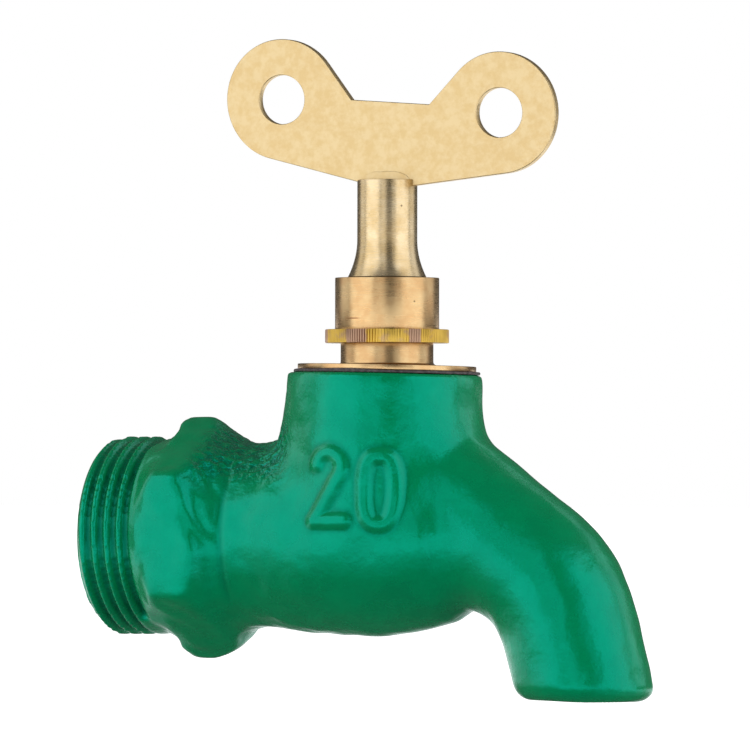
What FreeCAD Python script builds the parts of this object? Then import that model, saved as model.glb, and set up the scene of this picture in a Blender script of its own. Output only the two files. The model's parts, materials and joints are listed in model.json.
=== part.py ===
"""Garden tap that opens with a lift-off key.

The origin is the centre of the inlet's end face. X runs along the barrel from the inlet to the spout,
Z points up, and the valve axis stands upright on the barrel. Every size is in millimetres.
"""
import FreeCAD, Part
import os
import re
import Sketcher

Vector = FreeCAD.Vector

SIZES = {
    "inlet thread, G 3/4": {
        "thread_radius": 13.22,
        "thread_depth": 1.162,
        "thread_pitch": 1.814,
        "thread_crest_flat": 0.35,
        "thread_flank_angle": 27.5,
        "thread_lead_chamfer": 1.1,
        "thread_phase": 0.3,
        "thread_runout": 1.0,
        "inlet_bore_radius": 9.0,
        "inlet_bore_depth": 26.5,
    },
    "hexagon for the spanner": {
        "hex_start_x": 8.7,
        "hex_length": 9.6,
        "hex_across_flats": 28.0,
        "hex_face_radius": 13.3,
        "hex_chamfer_run": 2.6,
    },
    "barrel, belly and neck of the casting": {
        "barrel_radius": 12.1,
        "barrel_length": 6.2,
        "belly_length": 25.0,
        "belly_end_radius": 11.2,
        "belly_arc_radius": 49.0,
        "belly_dome_length": 6.0,
        "belly_dome_radius": 5.0,
        "neck_axis_x": 39.5,
        "neck_radius": 12.85,
        "neck_draft_radius": 13.3,
        "neck_core_shift": 0.3,
        "neck_top_z": 21.4,
        "neck_root_rounding_radius": 0.8,
        "neck_rim_rounding_radius": 0.5,
        "chamber_radius": 9.0,
        "partition_thickness": 2.0,
        "lower_chamber_radius": 10.0,
        "lower_chamber_reach": 7.0,
    },
    "spout": {
        "spout_start_reach": 10.3,
        "spout_start_z": 3.1,
        "spout_buried_length": 6.0,
        "spout_run_length": 12.5,
        "spout_run_fall": 34.0,
        "spout_bend_radius": 12.9,
        "spout_nose_fall": 74.5,
        "spout_mouth_z": -21.4,
        "spout_root_radius": 10.15,
        "spout_shoulder_radius": 9.25,
        "spout_nose_radius": 9.0,
        "spout_mouth_rounding": 1.2,
        "waterway_start_reach": 7.0,
        "waterway_start_z": 5.4,
        "waterway_start_radius": 4.8,
        "waterway_turn_reach": 14.0,
        "waterway_turn_z": 2.2,
        "waterway_turn_fall": 26.0,
        "waterway_turn_radius": 5.7,
        "waterway_radius": 6.6,
    },
    "seat, washer and jumper": {
        "seat_lip_height": 0.5,
        "seat_bore_radius": 6.0,
        "seat_outer_radius": 7.5,
        "seat_washer_radius": 7.4,
        "seat_washer_thickness": 3.0,
        "jumper_plate_radius": 7.7,
        "jumper_plate_thickness": 2.0,
        "jumper_pin_radius": 2.4,
        "jumper_pin_length": 5.5,
        "jumper_stud_radius": 2.0,
        "washer_nut_across_flats": 7.0,
        "washer_nut_thickness": 2.0,
        "jumper_stud_overhang": 0.5,
    },
    "stem": {
        "valve_lift": 4.0,
        "stem_thread_radius": 5.0,
        "stem_thread_depth": 0.9,
        "stem_thread_pitch": 2.0,
        "stem_thread_crest_flat": 0.8,
        "stem_thread_flank_angle": 15.0,
        "stem_stop_gap": 0.2,
        "stem_shank_radius": 3.0,
        "stem_head_across_flats": 4.2,
        "stem_head_height": 5.1,
        "stem_pin_bore_spare": 0.8,
    },
    "bonnet, gasket and stuffing box": {
        "gasket_thickness": 0.4,
        "gasket_radius": 12.2,
        "bonnet_flange_radius": 12.0,
        "bonnet_flange_thickness": 0.7,
        "bonnet_thread_radius": 10.0,
        "bonnet_boss_radius": 6.05,
        "bonnet_boss_height": 2.9,
        "bonnet_end_gap": 0.4,
        "stuffing_floor_thickness": 1.2,
        "packing_outer_radius": 4.95,
        "packing_ring_height": 1.2,
        "gland_washer_thickness": 0.5,
    },
    "lock collar": {
        "gland_radius": 5.0,
        "gland_length": 3.0,
        "notched_ring_radius": 8.15,
        "notched_ring_height": 1.8,
        "notch_count": 144,
        "notch_depth": 0.16,
        "notch_half_width": 0.13,
        "sleeve_radius": 6.85,
        "sleeve_height": 6.8,
        "well_radius": 5.3,
        "well_floor_thickness": 0.3,
    },
    "key": {
        "key_floor_gap": 0.7,
        "key_shoulder_gap": 0.3,
        "key_spigot_radius": 5.05,
        "key_tube_radius": 3.95,
        "key_tube_top_z": 46.9,
        "key_flare_height": 5.0,
        "key_flare_arc_radius": 11.95,
        "key_slot_depth": 1.6,
        "key_slot_spare": 0.3,
        "key_plate_thickness": 1.2,
        "key_plate_tilt": 2.9,
        "key_plate_shift": 0.6,
        "key_eye_spacing": 31.3,
        "key_eye_radius": 3.25,
        "key_eye_lift": 0.0,
        "key_lobe_radius": 8.0,
        "key_notch_half_width": 5.6,
        "key_notch_height": 0.53,
        "key_plate_depth": 11.0,
    },
    "clearances": {
        "running_clearance": 0.05,
        "seat_clearance": 0.02,
        "key_clearance": 0.1,
    },
    "overlaps that let a cut or pad run past the face it ends at": {
        "cut_overlap": 1.2,
    },
}

ALIASES = {alias for group in SIZES.values() for alias in group}

# Heights of the valve stack, each one counted from the pieces below it.
STEM_BOTTOM = "(seat_lip_height + seat_washer_thickness + jumper_plate_thickness)"
BONNET_BOTTOM = f"({STEM_BOTTOM} + valve_lift + bonnet_end_gap)"
NECK_BORE_BOTTOM = f"({BONNET_BOTTOM} - bonnet_end_gap)"
FLANGE_BOTTOM = "(neck_top_z + gasket_thickness)"
FLANGE_TOP = f"({FLANGE_BOTTOM} + bonnet_flange_thickness)"
BOSS_TOP = f"({FLANGE_TOP} + bonnet_boss_height)"
GLAND_BOTTOM = f"({BOSS_TOP} - gland_length)"
PACKING_TOP = f"({GLAND_BOTTOM} - gland_washer_thickness)"
PACKING_MIDDLE = f"({PACKING_TOP} - packing_ring_height)"
PACKING_BOTTOM = f"({PACKING_MIDDLE} - packing_ring_height)"
STUFFING_FLOOR = f"({PACKING_BOTTOM} - gland_washer_thickness)"
STEM_CEILING = f"({STUFFING_FLOOR} - stuffing_floor_thickness)"
STEM_THREAD_TOP = f"({STEM_CEILING} - valve_lift - stem_stop_gap)"
RING_TOP = f"({BOSS_TOP} + notched_ring_height)"
WELL_FLOOR = f"({RING_TOP} + well_floor_thickness)"
SLEEVE_TOP = f"({RING_TOP} + sleeve_height)"
KEY_BOTTOM = f"({WELL_FLOOR} + key_floor_gap)"
STEM_SHOULDER = f"({KEY_BOTTOM} - key_shoulder_gap)"
STEM_TOP = f"({STEM_SHOULDER} + stem_head_height)"

# Places of the casting, each one counted from the inlet or from the valve axis.
HEX_END = "(hex_start_x + hex_length)"
BARREL_END = f"({HEX_END} + barrel_length)"
BELLY_END = f"({BARREL_END} + belly_length)"
DOME_END = f"({BELLY_END} + belly_dome_length)"
HEX_CORNER_RADIUS = "(hex_across_flats / sqrt(3))"
SPOUT_START_X = "(neck_axis_x + spout_start_reach)"
LOWER_CHAMBER_START = "(inlet_bore_depth - cut_overlap)"

BEND_TURN = "(spout_nose_fall - spout_run_fall)"
BEND_STEPS = 4


def fill_sheet(doc):
    """Write the driving sizes into a spreadsheet, one named cell each."""
    sheet = doc.addObject("Spreadsheet::Sheet", "sizes")
    row = 1
    for group, cells in SIZES.items():
        sheet.set(f"A{row}", group)
        row += 1
        for alias, value in cells.items():
            sheet.set(f"A{row}", alias)
            sheet.set(f"B{row}", str(value))
            sheet.setAlias(f"B{row}", alias)
            row += 1
    doc.recompute()
    return sheet


doc = FreeCAD.newDocument("garden_tap")
sheet = fill_sheet(doc)


def bound(text):
    """The same sum with each size read from the sheet."""
    return re.sub(r"[a-z][a-z_0-9]*", lambda word: ("sizes." if word[0] in ALIASES else "") + word[0], text)


def value(text):
    """The number that a sum of sizes gives now."""
    found = sheet.evalExpression(bound(text))
    return float(getattr(found, "Value", found))


def new_body(label, on_valve_axis=True):
    """A body for one piece, standing on the valve axis or at the origin."""
    body = doc.addObject("PartDesign::Body", label)
    body.Label = label
    if on_valve_axis:
        body.setExpression("Placement.Base.x", bound("neck_axis_x"))
    return body


def origin_feature(body, role):
    """One plane or axis of the body's own origin."""
    return next(feature for feature in body.Origin.OriginFeatures if feature.Role == role)


def new_sketch(body, name, plane="XZ_Plane", height="0", sideways="0", rise="0", fall=None):
    """A sketch on an origin plane, moved off it by height and within it by sideways and rise.

    With fall, it is also turned about its own first axis, by that many degrees.
    """
    sketch = body.newObject("Sketcher::SketchObject", name)
    sketch.AttachmentSupport = [(origin_feature(body, plane), "")]
    sketch.MapMode = "FlatFace"
    if fall is not None:
        sketch.AttachmentOffset = FreeCAD.Placement(Vector(), FreeCAD.Rotation(Vector(1, 0, 0), value(fall)))
        sketch.setExpression("AttachmentOffset.Rotation.Angle", bound(fall))
    for axis, text in (("x", sideways), ("y", rise), ("z", height)):
        if text != "0":
            sketch.setExpression(f"AttachmentOffset.Base.{axis}", bound(text))
    return sketch


def bind(sketch, constraint, text):
    """Add a constraint and tie its value to the sheet."""
    index = sketch.addConstraint(constraint)
    sketch.setExpression(f"Constraints[{index}]", bound(text))


def place_point(sketch, geometry, point, across, up):
    """Fix one point of a sketch at two sums of sizes."""
    for kind, axis, text in (("DistanceX", -2, across), ("DistanceY", -1, up)):
        if text == "0":
            sketch.addConstraint(Sketcher.Constraint("PointOnObject", geometry, point, axis))
        else:
            bind(sketch, Sketcher.Constraint(kind, -1, 1, geometry, point, value(text)), text)


def outline(sketch, corners):
    """A closed outline through the corners.

    Each corner is (across, up), or (across, up, radius) where an arc of that radius leads to the next
    corner. A positive radius bends to the left of the way from corner to corner.
    """
    places = [Vector(value(corner[0]), value(corner[1]), 0) for corner in corners]
    for index, corner in enumerate(corners):
        start, end = places[index], places[(index + 1) % len(places)]
        if len(corner) == 2:
            sketch.addGeometry(Part.LineSegment(start, end))
            continue
        chord = end - start
        left = Vector(-chord.y, chord.x, 0).normalize()
        radius = value(corner[2])
        sagitta = abs(radius) - (radius * radius - chord.Length ** 2 / 4) ** 0.5
        middle = (start + end) / 2 - left * sagitta * (1 if radius > 0 else -1)
        sketch.addGeometry(Part.Arc(start, middle, end))
    for index, corner in enumerate(corners):
        following = (index + 1) % len(corners)
        near, far = end_points(sketch, index, places[index])
        next_near, _ = end_points(sketch, following, places[following])
        place_point(sketch, index, near, corner[0], corner[1])
        sketch.addConstraint(Sketcher.Constraint("Coincident", index, far, following, next_near))
        if len(corner) == 3:
            text = corner[2].lstrip("-")
            bind(sketch, Sketcher.Constraint("Radius", index, value(text)), text)
    return sketch


def end_points(sketch, index, start):
    """The numbers of an edge's first and last point, because an arc may run the other way."""
    first = sketch.getPoint(index, 1)
    return (1, 2) if first.distanceToPoint(start) < 1e-4 else (2, 1)


def circle(sketch, radius, across="0", up="0"):
    """A full circle in a sketch."""
    centre = Vector(value(across), value(up), 0)
    index = sketch.addGeometry(Part.Circle(centre, Vector(0, 0, 1), value(radius)))
    bind(sketch, Sketcher.Constraint("Radius", index, value(radius)), radius)
    if across == "0" and up == "0":
        sketch.addConstraint(Sketcher.Constraint("Coincident", index, 3, -1, 1))
    else:
        place_point(sketch, index, 3, across, up)
    return sketch


def regular(sketch, across_flats, sides, corner_up=False):
    """A square or a hexagon about the sketch's origin, given across its flats."""
    half = f"({across_flats}) / 2"
    if sides == 4:
        corners = [(half, half), (f"-{half}", half), (f"-{half}", f"-{half}"), (half, f"-{half}")]
    else:
        side = f"({across_flats}) / sqrt(12)"
        corner = f"({across_flats}) / sqrt(3)"
        corners = [("0", corner), (f"-{half}", side), (f"-{half}", f"-{side}"),
                   ("0", f"-{corner}"), (half, f"-{side}"), (half, side)]
    return outline(sketch, corners)


def turn(body, sketch, kind="Revolution", axis=None):
    """Turn a sketch right round, about its own upright axis or about an axis of the body."""
    feature = body.newObject(f"PartDesign::{kind}", f"{sketch.Name}_turned")
    feature.Profile = sketch
    feature.ReferenceAxis = (origin_feature(body, axis), [""]) if axis else (sketch, ["V_Axis"])
    feature.Angle = 360
    return feature


def extrude(body, sketch, length, kind="Pad", back=False, both=False):
    """Raise or cut a sketch by a length; a back cut or pad goes the other way."""
    feature = body.newObject(f"PartDesign::{kind}", f"{sketch.Name}_{kind.lower()}")
    feature.Profile = sketch
    feature.setExpression("Length", bound(length))
    feature.Reversed = back
    feature.Midplane = both
    return feature


def loft(body, sketches, kind="AdditiveLoft"):
    """Join the sketches by one smooth skin."""
    feature = body.newObject(f"PartDesign::{kind}", f"{sketches[0].Name}_loft")
    feature.Profile = sketches[0]
    feature.Sections = sketches[1:]
    return feature


def turned_piece(label, corners):
    """A piece that is a plain turning about the valve axis."""
    body = new_body(label)
    turn(body, outline(new_sketch(body, f"{label}_profile"), corners))
    return body


def ring_piece(label, inner, outer, bottom, top):
    """A flat ring on the valve axis."""
    return turned_piece(label, [(inner, bottom), (outer, bottom), (outer, top), (inner, top)])


def spout_station(turned):
    """Centre of the spout where its axis has turned that far from its first run: reach, height and fall."""
    fall = f"(spout_run_fall + {turned})"
    run_x = f"({SPOUT_START_X} + spout_run_length * cos(spout_run_fall))"
    run_z = "(spout_start_z - spout_run_length * sin(spout_run_fall))"
    across = f"({run_x} + spout_bend_radius * (sin{fall} - sin(spout_run_fall)))"
    up = f"({run_z} - spout_bend_radius * (cos(spout_run_fall) - cos{fall}))"
    return across, up, fall


def nose_length():
    """Length of the straight nose, until all of its end lies below the mouth."""
    _, bend_end_z, fall = spout_station(BEND_TURN)
    return f"(({bend_end_z} - spout_mouth_z) / sin{fall} + spout_nose_radius / tan{fall} + cut_overlap)"


def spout_section(body, name, across, up, fall, radius):
    """A round section square to the spout's axis."""
    return circle(new_sketch(body, name, "YZ_Plane", height=across, rise=up, fall=fall), radius)


def make_tap_body():
    """The casting: inlet thread, hexagon, barrel, belly, neck, spout and the waterway inside."""
    body = new_body("tap_body", on_valve_axis=False)
    make_barrel(body)
    make_hexagon(body)
    make_neck(body)
    make_spout(body)
    round_casting(body)
    cut_thread(body, "X_Axis", "thread_radius", "thread_depth", "thread_pitch", "-thread_phase",
               "(hex_start_x - thread_runout)", "thread_crest_flat", "thread_flank_angle")
    cut_waterway(body)
    return body


def make_neck(body):
    """The upright neck, drafted as a casting is, a little off the bore that is cut into it."""
    centre = "(neck_axis_x - neck_core_shift)"
    foot = circle(new_sketch(body, "neck_foot", "XY_Plane"), "neck_draft_radius", across=centre)
    rim = circle(new_sketch(body, "neck_rim", "XY_Plane", height="neck_top_z"), "neck_radius", across=centre)
    loft(body, [foot, rim])


def make_barrel(body):
    """The bar for the inlet thread, the barrel and the belly as one turning."""
    middle_of_hexagon = "(hex_start_x + hex_length / 2)"
    barrel = outline(new_sketch(body, "barrel"), [
        ("0", "0"),
        ("0", "thread_radius - thread_lead_chamfer"),
        ("thread_lead_chamfer", "thread_radius"),
        (middle_of_hexagon, "thread_radius"),
        (middle_of_hexagon, "barrel_radius"),
        (BARREL_END, "barrel_radius", "-belly_arc_radius"),
        (BELLY_END, "belly_end_radius"),
        (DOME_END, "belly_dome_radius"),
        (DOME_END, "0")])
    turn(body, barrel, axis="X_Axis")


def cut_thread(body, axis, radius, depth, pitch, start, end, crest_flat, flank_angle):
    """Cut a helical groove into a round bar, from one pitch ahead of its start to its end."""
    overshoot = f"({depth} / 4)"
    outer = f"({radius} + {overshoot})"
    root = f"({radius} - {depth})"
    outer_half = f"(({pitch} - {crest_flat}) / 2 + {overshoot} * tan({flank_angle}))"
    root_half = f"(({pitch} - {crest_flat}) / 2 - {depth} * tan({flank_angle}))"
    middle = f"({start} - {pitch})"
    corners = [(f"{middle} - {root_half}", root), (f"{middle} + {root_half}", root),
               (f"{middle} + {outer_half}", outer), (f"{middle} - {outer_half}", outer)]
    if axis == "Z_Axis":
        corners = [(across, along) for along, across in corners]
    groove = outline(new_sketch(body, f"{body.Name}_groove"), corners)
    helix = body.newObject("PartDesign::SubtractiveHelix", f"{body.Name}_thread")
    helix.Profile = groove
    helix.ReferenceAxis = (origin_feature(body, axis), [""])
    helix.Mode = "pitch-height-angle"
    helix.setExpression("Pitch", bound(pitch))
    helix.setExpression("Height", bound(f"{end} - {middle}"))
    return helix


def make_hexagon(body):
    """The spanner hexagon, corners up and down, its corners chamfered at both ends."""
    hexagon = regular(new_sketch(body, "hexagon", "YZ_Plane", height="hex_start_x"), "hex_across_flats", 6)
    extrude(body, hexagon, "hex_length")
    for end, inward in (("hex_start_x", "+"), (HEX_END, "-")):
        name = "chamfer_inlet" if inward == "+" else "chamfer_barrel"
        corner = outline(new_sketch(body, name), [
            (end, "hex_face_radius"), (end, HEX_CORNER_RADIUS),
            (f"{end} {inward} hex_chamfer_run", HEX_CORNER_RADIUS)])
        turn(body, corner, kind="Groove", axis="X_Axis")


def make_spout(body):
    """A tapering run down from the belly, a bend, and a straight nose with a level mouth."""
    buried = (f"({SPOUT_START_X} - spout_buried_length * cos(spout_run_fall))",
              "(spout_start_z + spout_buried_length * sin(spout_run_fall))", "spout_run_fall")
    root = spout_section(body, "spout_root", *buried, "spout_root_radius")
    shoulder = spout_section(body, "spout_shoulder", *spout_station("0"), "spout_shoulder_radius")
    loft(body, [root, shoulder])

    sections = []
    for step in range(BEND_STEPS + 1):
        share = f"({step} / {BEND_STEPS})"
        radius = f"spout_shoulder_radius + (spout_nose_radius - spout_shoulder_radius) * {share}"
        station = spout_station(f"{BEND_TURN} * {share}")
        sections.append(spout_section(body, f"spout_bend_{step}", *station, radius))
    loft(body, sections)

    nose = spout_section(body, "spout_nose", *spout_station(BEND_TURN), "spout_nose_radius")
    extrude(body, nose, nose_length())
    below = circle(new_sketch(body, "below_mouth", "XY_Plane", height="spout_mouth_z"),
                   "spout_nose_radius * 3", across=spout_station(BEND_TURN)[0])
    return extrude(body, below, nose_length(), kind="Pocket")


def round_edges(body, name, radius, wanted):
    """Round the edges whose two faces pass the test."""
    doc.recompute()
    base = body.Tip
    solid = base.Shape.Solids[0]
    edges = []
    for number, edge in enumerate(base.Shape.Edges, start=1):
        faces = solid.ancestorsOfType(edge, Part.Face)
        if len(faces) == 2 and wanted(edge, faces):
            edges.append(f"Edge{number}")
    fillet = body.newObject("PartDesign::Fillet", name)
    fillet.Base = (base, edges)
    fillet.setExpression("Radius", bound(radius))


def round_casting(body):
    """The cast corners: where the neck grows out of barrel and spout, the neck's rim, the spout's lip."""
    def is_neck_side(face):
        return face.Surface.TypeId == "Part::GeomCone" and abs(face.Surface.Axis.z) > 0.999

    def is_level_at(face, height):
        flat = face.Surface.TypeId == "Part::GeomPlane"
        return flat and abs(face.BoundBox.ZMax - value(height)) < 0.001 and face.BoundBox.ZLength < 0.001

    def neck_root(_, faces):
        return any(map(is_neck_side, faces)) and all(face.BoundBox.ZLength > 0.001 for face in faces)

    def neck_rim(_, faces):
        return any(map(is_neck_side, faces)) and any(is_level_at(face, "neck_top_z") for face in faces)

    def mouth_lip(_, faces):
        return any(is_level_at(face, "spout_mouth_z") for face in faces)

    round_edges(body, "neck_root_rounding", "neck_root_rounding_radius", neck_root)
    round_edges(body, "neck_rim_rounding", "neck_rim_rounding_radius", neck_rim)
    round_edges(body, "mouth_rounding", "spout_mouth_rounding", mouth_lip)


def cut_waterway(body):
    """Inlet bore, chamber below the seat, seat hole, chamber above it, bonnet bore and spout bore."""
    bore = circle(new_sketch(body, "inlet_bore", "YZ_Plane"), "inlet_bore_radius")
    extrude(body, bore, "inlet_bore_depth", kind="Pocket", back=True)

    # Below the partition the passage is the part of a round bore that lies under the partition's face.
    half_chord = "sqrt(lower_chamber_radius ^ 2 - partition_thickness ^ 2)"
    below = outline(new_sketch(body, "lower_chamber", "YZ_Plane", height=LOWER_CHAMBER_START), [
        (f"-{half_chord}", "-partition_thickness", "lower_chamber_radius"),
        ("0", "-lower_chamber_radius", "lower_chamber_radius"),
        (half_chord, "-partition_thickness")])
    reach = f"neck_axis_x + lower_chamber_reach - {LOWER_CHAMBER_START}"
    extrude(body, below, reach, kind="Pocket", back=True)

    for name, radius, top, depth in (
            ("bonnet_bore", "bonnet_thread_radius + seat_clearance", "neck_top_z",
             f"neck_top_z - {NECK_BORE_BOTTOM}"),
            ("upper_chamber", "chamber_radius", NECK_BORE_BOTTOM, NECK_BORE_BOTTOM),
            ("seat_hole", "seat_outer_radius + seat_clearance", "0", "partition_thickness")):
        hole = circle(new_sketch(body, name, "XY_Plane", height=top), radius, across="neck_axis_x")
        extrude(body, hole, depth, kind="Pocket")

    sections = [
        spout_section(body, "waterway_start", "(neck_axis_x + waterway_start_reach)", "waterway_start_z",
                      "0", "waterway_start_radius"),
        spout_section(body, "waterway_turn", "(neck_axis_x + waterway_turn_reach)", "waterway_turn_z",
                      "waterway_turn_fall", "waterway_turn_radius")]
    for step in range(BEND_STEPS + 1):
        station = spout_station(f"{BEND_TURN} * {step} / {BEND_STEPS}")
        sections.append(spout_section(body, f"waterway_bend_{step}", *station, "waterway_radius"))
    loft(body, sections, kind="SubtractiveLoft")
    nose = spout_section(body, "waterway_nose", *spout_station(BEND_TURN), "waterway_radius")
    extrude(body, nose, nose_length(), kind="Pocket", back=True)


def make_seat():
    """The pressed seat ring, the rubber washer on it, and the jumper with the nut that holds the washer."""
    ring_piece("seat_ring", "seat_bore_radius", "seat_outer_radius",
               "-partition_thickness", "seat_lip_height")
    washer_top = "(seat_lip_height + seat_washer_thickness)"
    ring_piece("seat_washer", "jumper_stud_radius + seat_clearance", "seat_washer_radius",
               "seat_lip_height", washer_top)
    nut_bottom = "(seat_lip_height - washer_nut_thickness)"
    turned_piece("jumper", [
        ("0", f"{nut_bottom} - jumper_stud_overhang"),
        ("jumper_stud_radius", f"{nut_bottom} - jumper_stud_overhang"),
        ("jumper_stud_radius", washer_top),
        ("jumper_plate_radius", washer_top),
        ("jumper_plate_radius", STEM_BOTTOM),
        ("jumper_pin_radius", STEM_BOTTOM),
        ("jumper_pin_radius", f"{STEM_BOTTOM} + jumper_pin_length"),
        ("0", f"{STEM_BOTTOM} + jumper_pin_length")])
    nut = new_body("washer_nut")
    hexagon = regular(new_sketch(nut, "washer_nut_hexagon", "XY_Plane", height=nut_bottom),
                      "washer_nut_across_flats", 6)
    circle(hexagon, "jumper_stud_radius + seat_clearance")
    extrude(nut, hexagon, "washer_nut_thickness")


def make_stem():
    """The lifting screw with a bore for the jumper's pin, the plain shank and the square head."""
    stem = new_body("stem")
    bore = "jumper_pin_radius + running_clearance"
    bore_top = f"{STEM_BOTTOM} + jumper_pin_length + stem_pin_bore_spare"
    profile = outline(new_sketch(stem, "stem_profile"), [
        (bore, STEM_BOTTOM),
        ("stem_thread_radius", STEM_BOTTOM),
        ("stem_thread_radius", STEM_THREAD_TOP),
        ("stem_shank_radius", STEM_THREAD_TOP),
        ("stem_shank_radius", STEM_SHOULDER),
        ("0", STEM_SHOULDER),
        ("0", bore_top),
        (bore, bore_top)])
    turn(stem, profile)
    cut_thread(stem, "Z_Axis", "stem_thread_radius", "stem_thread_depth", "stem_thread_pitch",
               STEM_BOTTOM, STEM_THREAD_TOP, "stem_thread_crest_flat", "stem_thread_flank_angle")
    head = new_sketch(stem, "stem_head", "XY_Plane", height=STEM_SHOULDER)
    extrude(stem, regular(head, "stem_head_across_flats", 4), "stem_head_height")


def make_headwork():
    """Gasket, bonnet and all that packs the stem in the bonnet's stuffing box."""
    ring_piece("bonnet_gasket", "bonnet_thread_radius + running_clearance", "gasket_radius",
               "neck_top_z", FLANGE_BOTTOM)
    screw_bore = "stem_thread_radius + running_clearance"
    shank_bore = "stem_shank_radius + running_clearance"
    box_bore = "gland_radius + seat_clearance"
    turned_piece("bonnet", [
        (screw_bore, BONNET_BOTTOM),
        ("bonnet_thread_radius", BONNET_BOTTOM),
        ("bonnet_thread_radius", FLANGE_BOTTOM),
        ("bonnet_flange_radius", FLANGE_BOTTOM),
        ("bonnet_flange_radius", FLANGE_TOP),
        ("bonnet_boss_radius", FLANGE_TOP),
        ("bonnet_boss_radius", BOSS_TOP),
        (box_bore, BOSS_TOP),
        (box_bore, STUFFING_FLOOR),
        (shank_bore, STUFFING_FLOOR),
        (shank_bore, STEM_CEILING),
        (screw_bore, STEM_CEILING)])
    for label, bottom, top in (
            ("packing_washer", STUFFING_FLOOR, PACKING_BOTTOM),
            ("packing_ring_lower", PACKING_BOTTOM, PACKING_MIDDLE),
            ("packing_ring_upper", PACKING_MIDDLE, PACKING_TOP),
            ("gland_washer", PACKING_TOP, GLAND_BOTTOM)):
        ring_piece(label, shank_bore, "packing_outer_radius", bottom, top)


def make_lock_collar():
    """Gland screw, notched ring and sleeve in one turning, with a well for the key's foot."""
    shank_bore = "stem_shank_radius + key_clearance"
    collar = turned_piece("lock_collar", [
        (shank_bore, GLAND_BOTTOM),
        ("gland_radius", GLAND_BOTTOM),
        ("gland_radius", BOSS_TOP),
        ("notched_ring_radius", BOSS_TOP),
        ("notched_ring_radius", RING_TOP),
        ("sleeve_radius", RING_TOP),
        ("sleeve_radius", SLEEVE_TOP),
        ("well_radius", SLEEVE_TOP),
        ("well_radius", WELL_FLOOR),
        (shank_bore, WELL_FLOOR)])
    notch = outline(new_sketch(collar, "notch", "XY_Plane", height=RING_TOP), [
        ("notched_ring_radius - notch_depth", "0"),
        ("notched_ring_radius + notch_depth", "notch_half_width * 2"),
        ("notched_ring_radius + notch_depth", "-notch_half_width * 2")])
    cut = extrude(collar, notch, "notched_ring_height", kind="Pocket")
    pattern = collar.newObject("PartDesign::PolarPattern", "notches")
    pattern.Originals = [cut]
    pattern.Axis = (origin_feature(collar, "Z_Axis"), [""])
    pattern.Angle = 360
    pattern.setExpression("Occurrences", bound("notch_count"))
    collar.Tip = pattern


def make_key():
    """The key's tube with its flared foot and square socket, and the flat plate with two eyes."""
    barrel = turned_piece("key_barrel", [
        ("0", KEY_BOTTOM),
        ("key_spigot_radius", KEY_BOTTOM),
        ("key_spigot_radius", SLEEVE_TOP, "-key_flare_arc_radius"),
        ("key_tube_radius", f"{SLEEVE_TOP} + key_flare_height"),
        ("key_tube_radius", "key_tube_top_z"),
        ("0", "key_tube_top_z")])
    socket = regular(new_sketch(barrel, "socket", "XY_Plane", height=KEY_BOTTOM),
                     "stem_head_across_flats + key_clearance * 2", 4)
    extrude(barrel, socket, f"{STEM_TOP} - {KEY_BOTTOM}", kind="Pocket", back=True)
    half_width = "(key_plate_thickness / 2 + seat_clearance)"
    slot = outline(new_sketch(barrel, "plate_slot", "XY_Plane", height="key_tube_top_z"), [
        ("key_tube_radius * 2", half_width), ("-key_tube_radius * 2", half_width),
        ("-key_tube_radius * 2", f"-{half_width}"), ("key_tube_radius * 2", f"-{half_width}")])
    extrude(barrel, slot, "key_slot_depth", kind="Pocket")

    wings = new_body("key_wings")
    wings.Placement = FreeCAD.Placement(Vector(), FreeCAD.Rotation(Vector(0, 1, 0), value("key_plate_tilt")))
    wings.setExpression("Placement.Rotation.Angle", bound("key_plate_tilt"))
    wings.setExpression("Placement.Base.x", bound("neck_axis_x + key_plate_shift"))
    plate_z = "key_tube_top_z - key_slot_depth + key_slot_spare + key_plate_depth"
    wings.setExpression("Placement.Base.z", bound(plate_z))
    plate = new_sketch(wings, "butterfly")
    draw_butterfly(plate)
    for side in ("", "-"):
        circle(plate, "key_eye_radius", across=f"{side}key_eye_spacing / 2", up="key_eye_lift")
    extrude(wings, plate, "key_plate_thickness", both=True)


def touch_point(outside, centre, radius, side):
    """Where a line from a point outside touches a circle; side picks one of the two."""
    way = centre - outside
    turned = FreeCAD.Rotation(Vector(0, 0, 1), side * 90).multVec(way).normalize()
    reach = way.Length
    return centre - way * (radius / reach) ** 2 + turned * radius * (1 - (radius / reach) ** 2) ** 0.5


def draw_butterfly(plate):
    """Two round lobes joined by straight edges that touch them, below to a point and above to a flat."""
    radius = value("key_lobe_radius")
    apex = Vector(0, -value("key_plate_depth"), 0)
    flat = {}
    for side, sign in (("", 1), ("-", -1)):
        centre = Vector(sign * value("key_eye_spacing") / 2, value("key_eye_lift"), 0)
        corner = Vector(sign * value("key_notch_half_width"), value("key_notch_height"), 0)
        low = touch_point(apex, centre, radius, -sign)
        high = touch_point(corner, centre, radius, sign)
        outermost = centre + Vector(sign * radius, 0, 0)
        below = plate.addGeometry(Part.LineSegment(apex, low))
        lobe = plate.addGeometry(Part.Arc(low, outermost, high))
        above = plate.addGeometry(Part.LineSegment(high, corner))
        place_point(plate, lobe, 3, f"{side}key_eye_spacing / 2", "key_eye_lift")
        bind(plate, Sketcher.Constraint("Radius", lobe, radius), "key_lobe_radius")
        low_end, high_end = end_points(plate, lobe, low)
        plate.addConstraint(Sketcher.Constraint("Tangent", below, 2, lobe, low_end))
        plate.addConstraint(Sketcher.Constraint("Tangent", lobe, high_end, above, 1))
        place_point(plate, below, 1, "0", "-key_plate_depth")
        place_point(plate, above, 2, f"{side}key_notch_half_width", "key_notch_height")
        flat[side] = above
    edge = plate.addGeometry(Part.LineSegment(plate.getPoint(flat[""], 2), plate.getPoint(flat["-"], 2)))
    plate.addConstraint(Sketcher.Constraint("Coincident", edge, 1, flat[""], 2))
    plate.addConstraint(Sketcher.Constraint("Coincident", edge, 2, flat["-"], 2))


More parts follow.
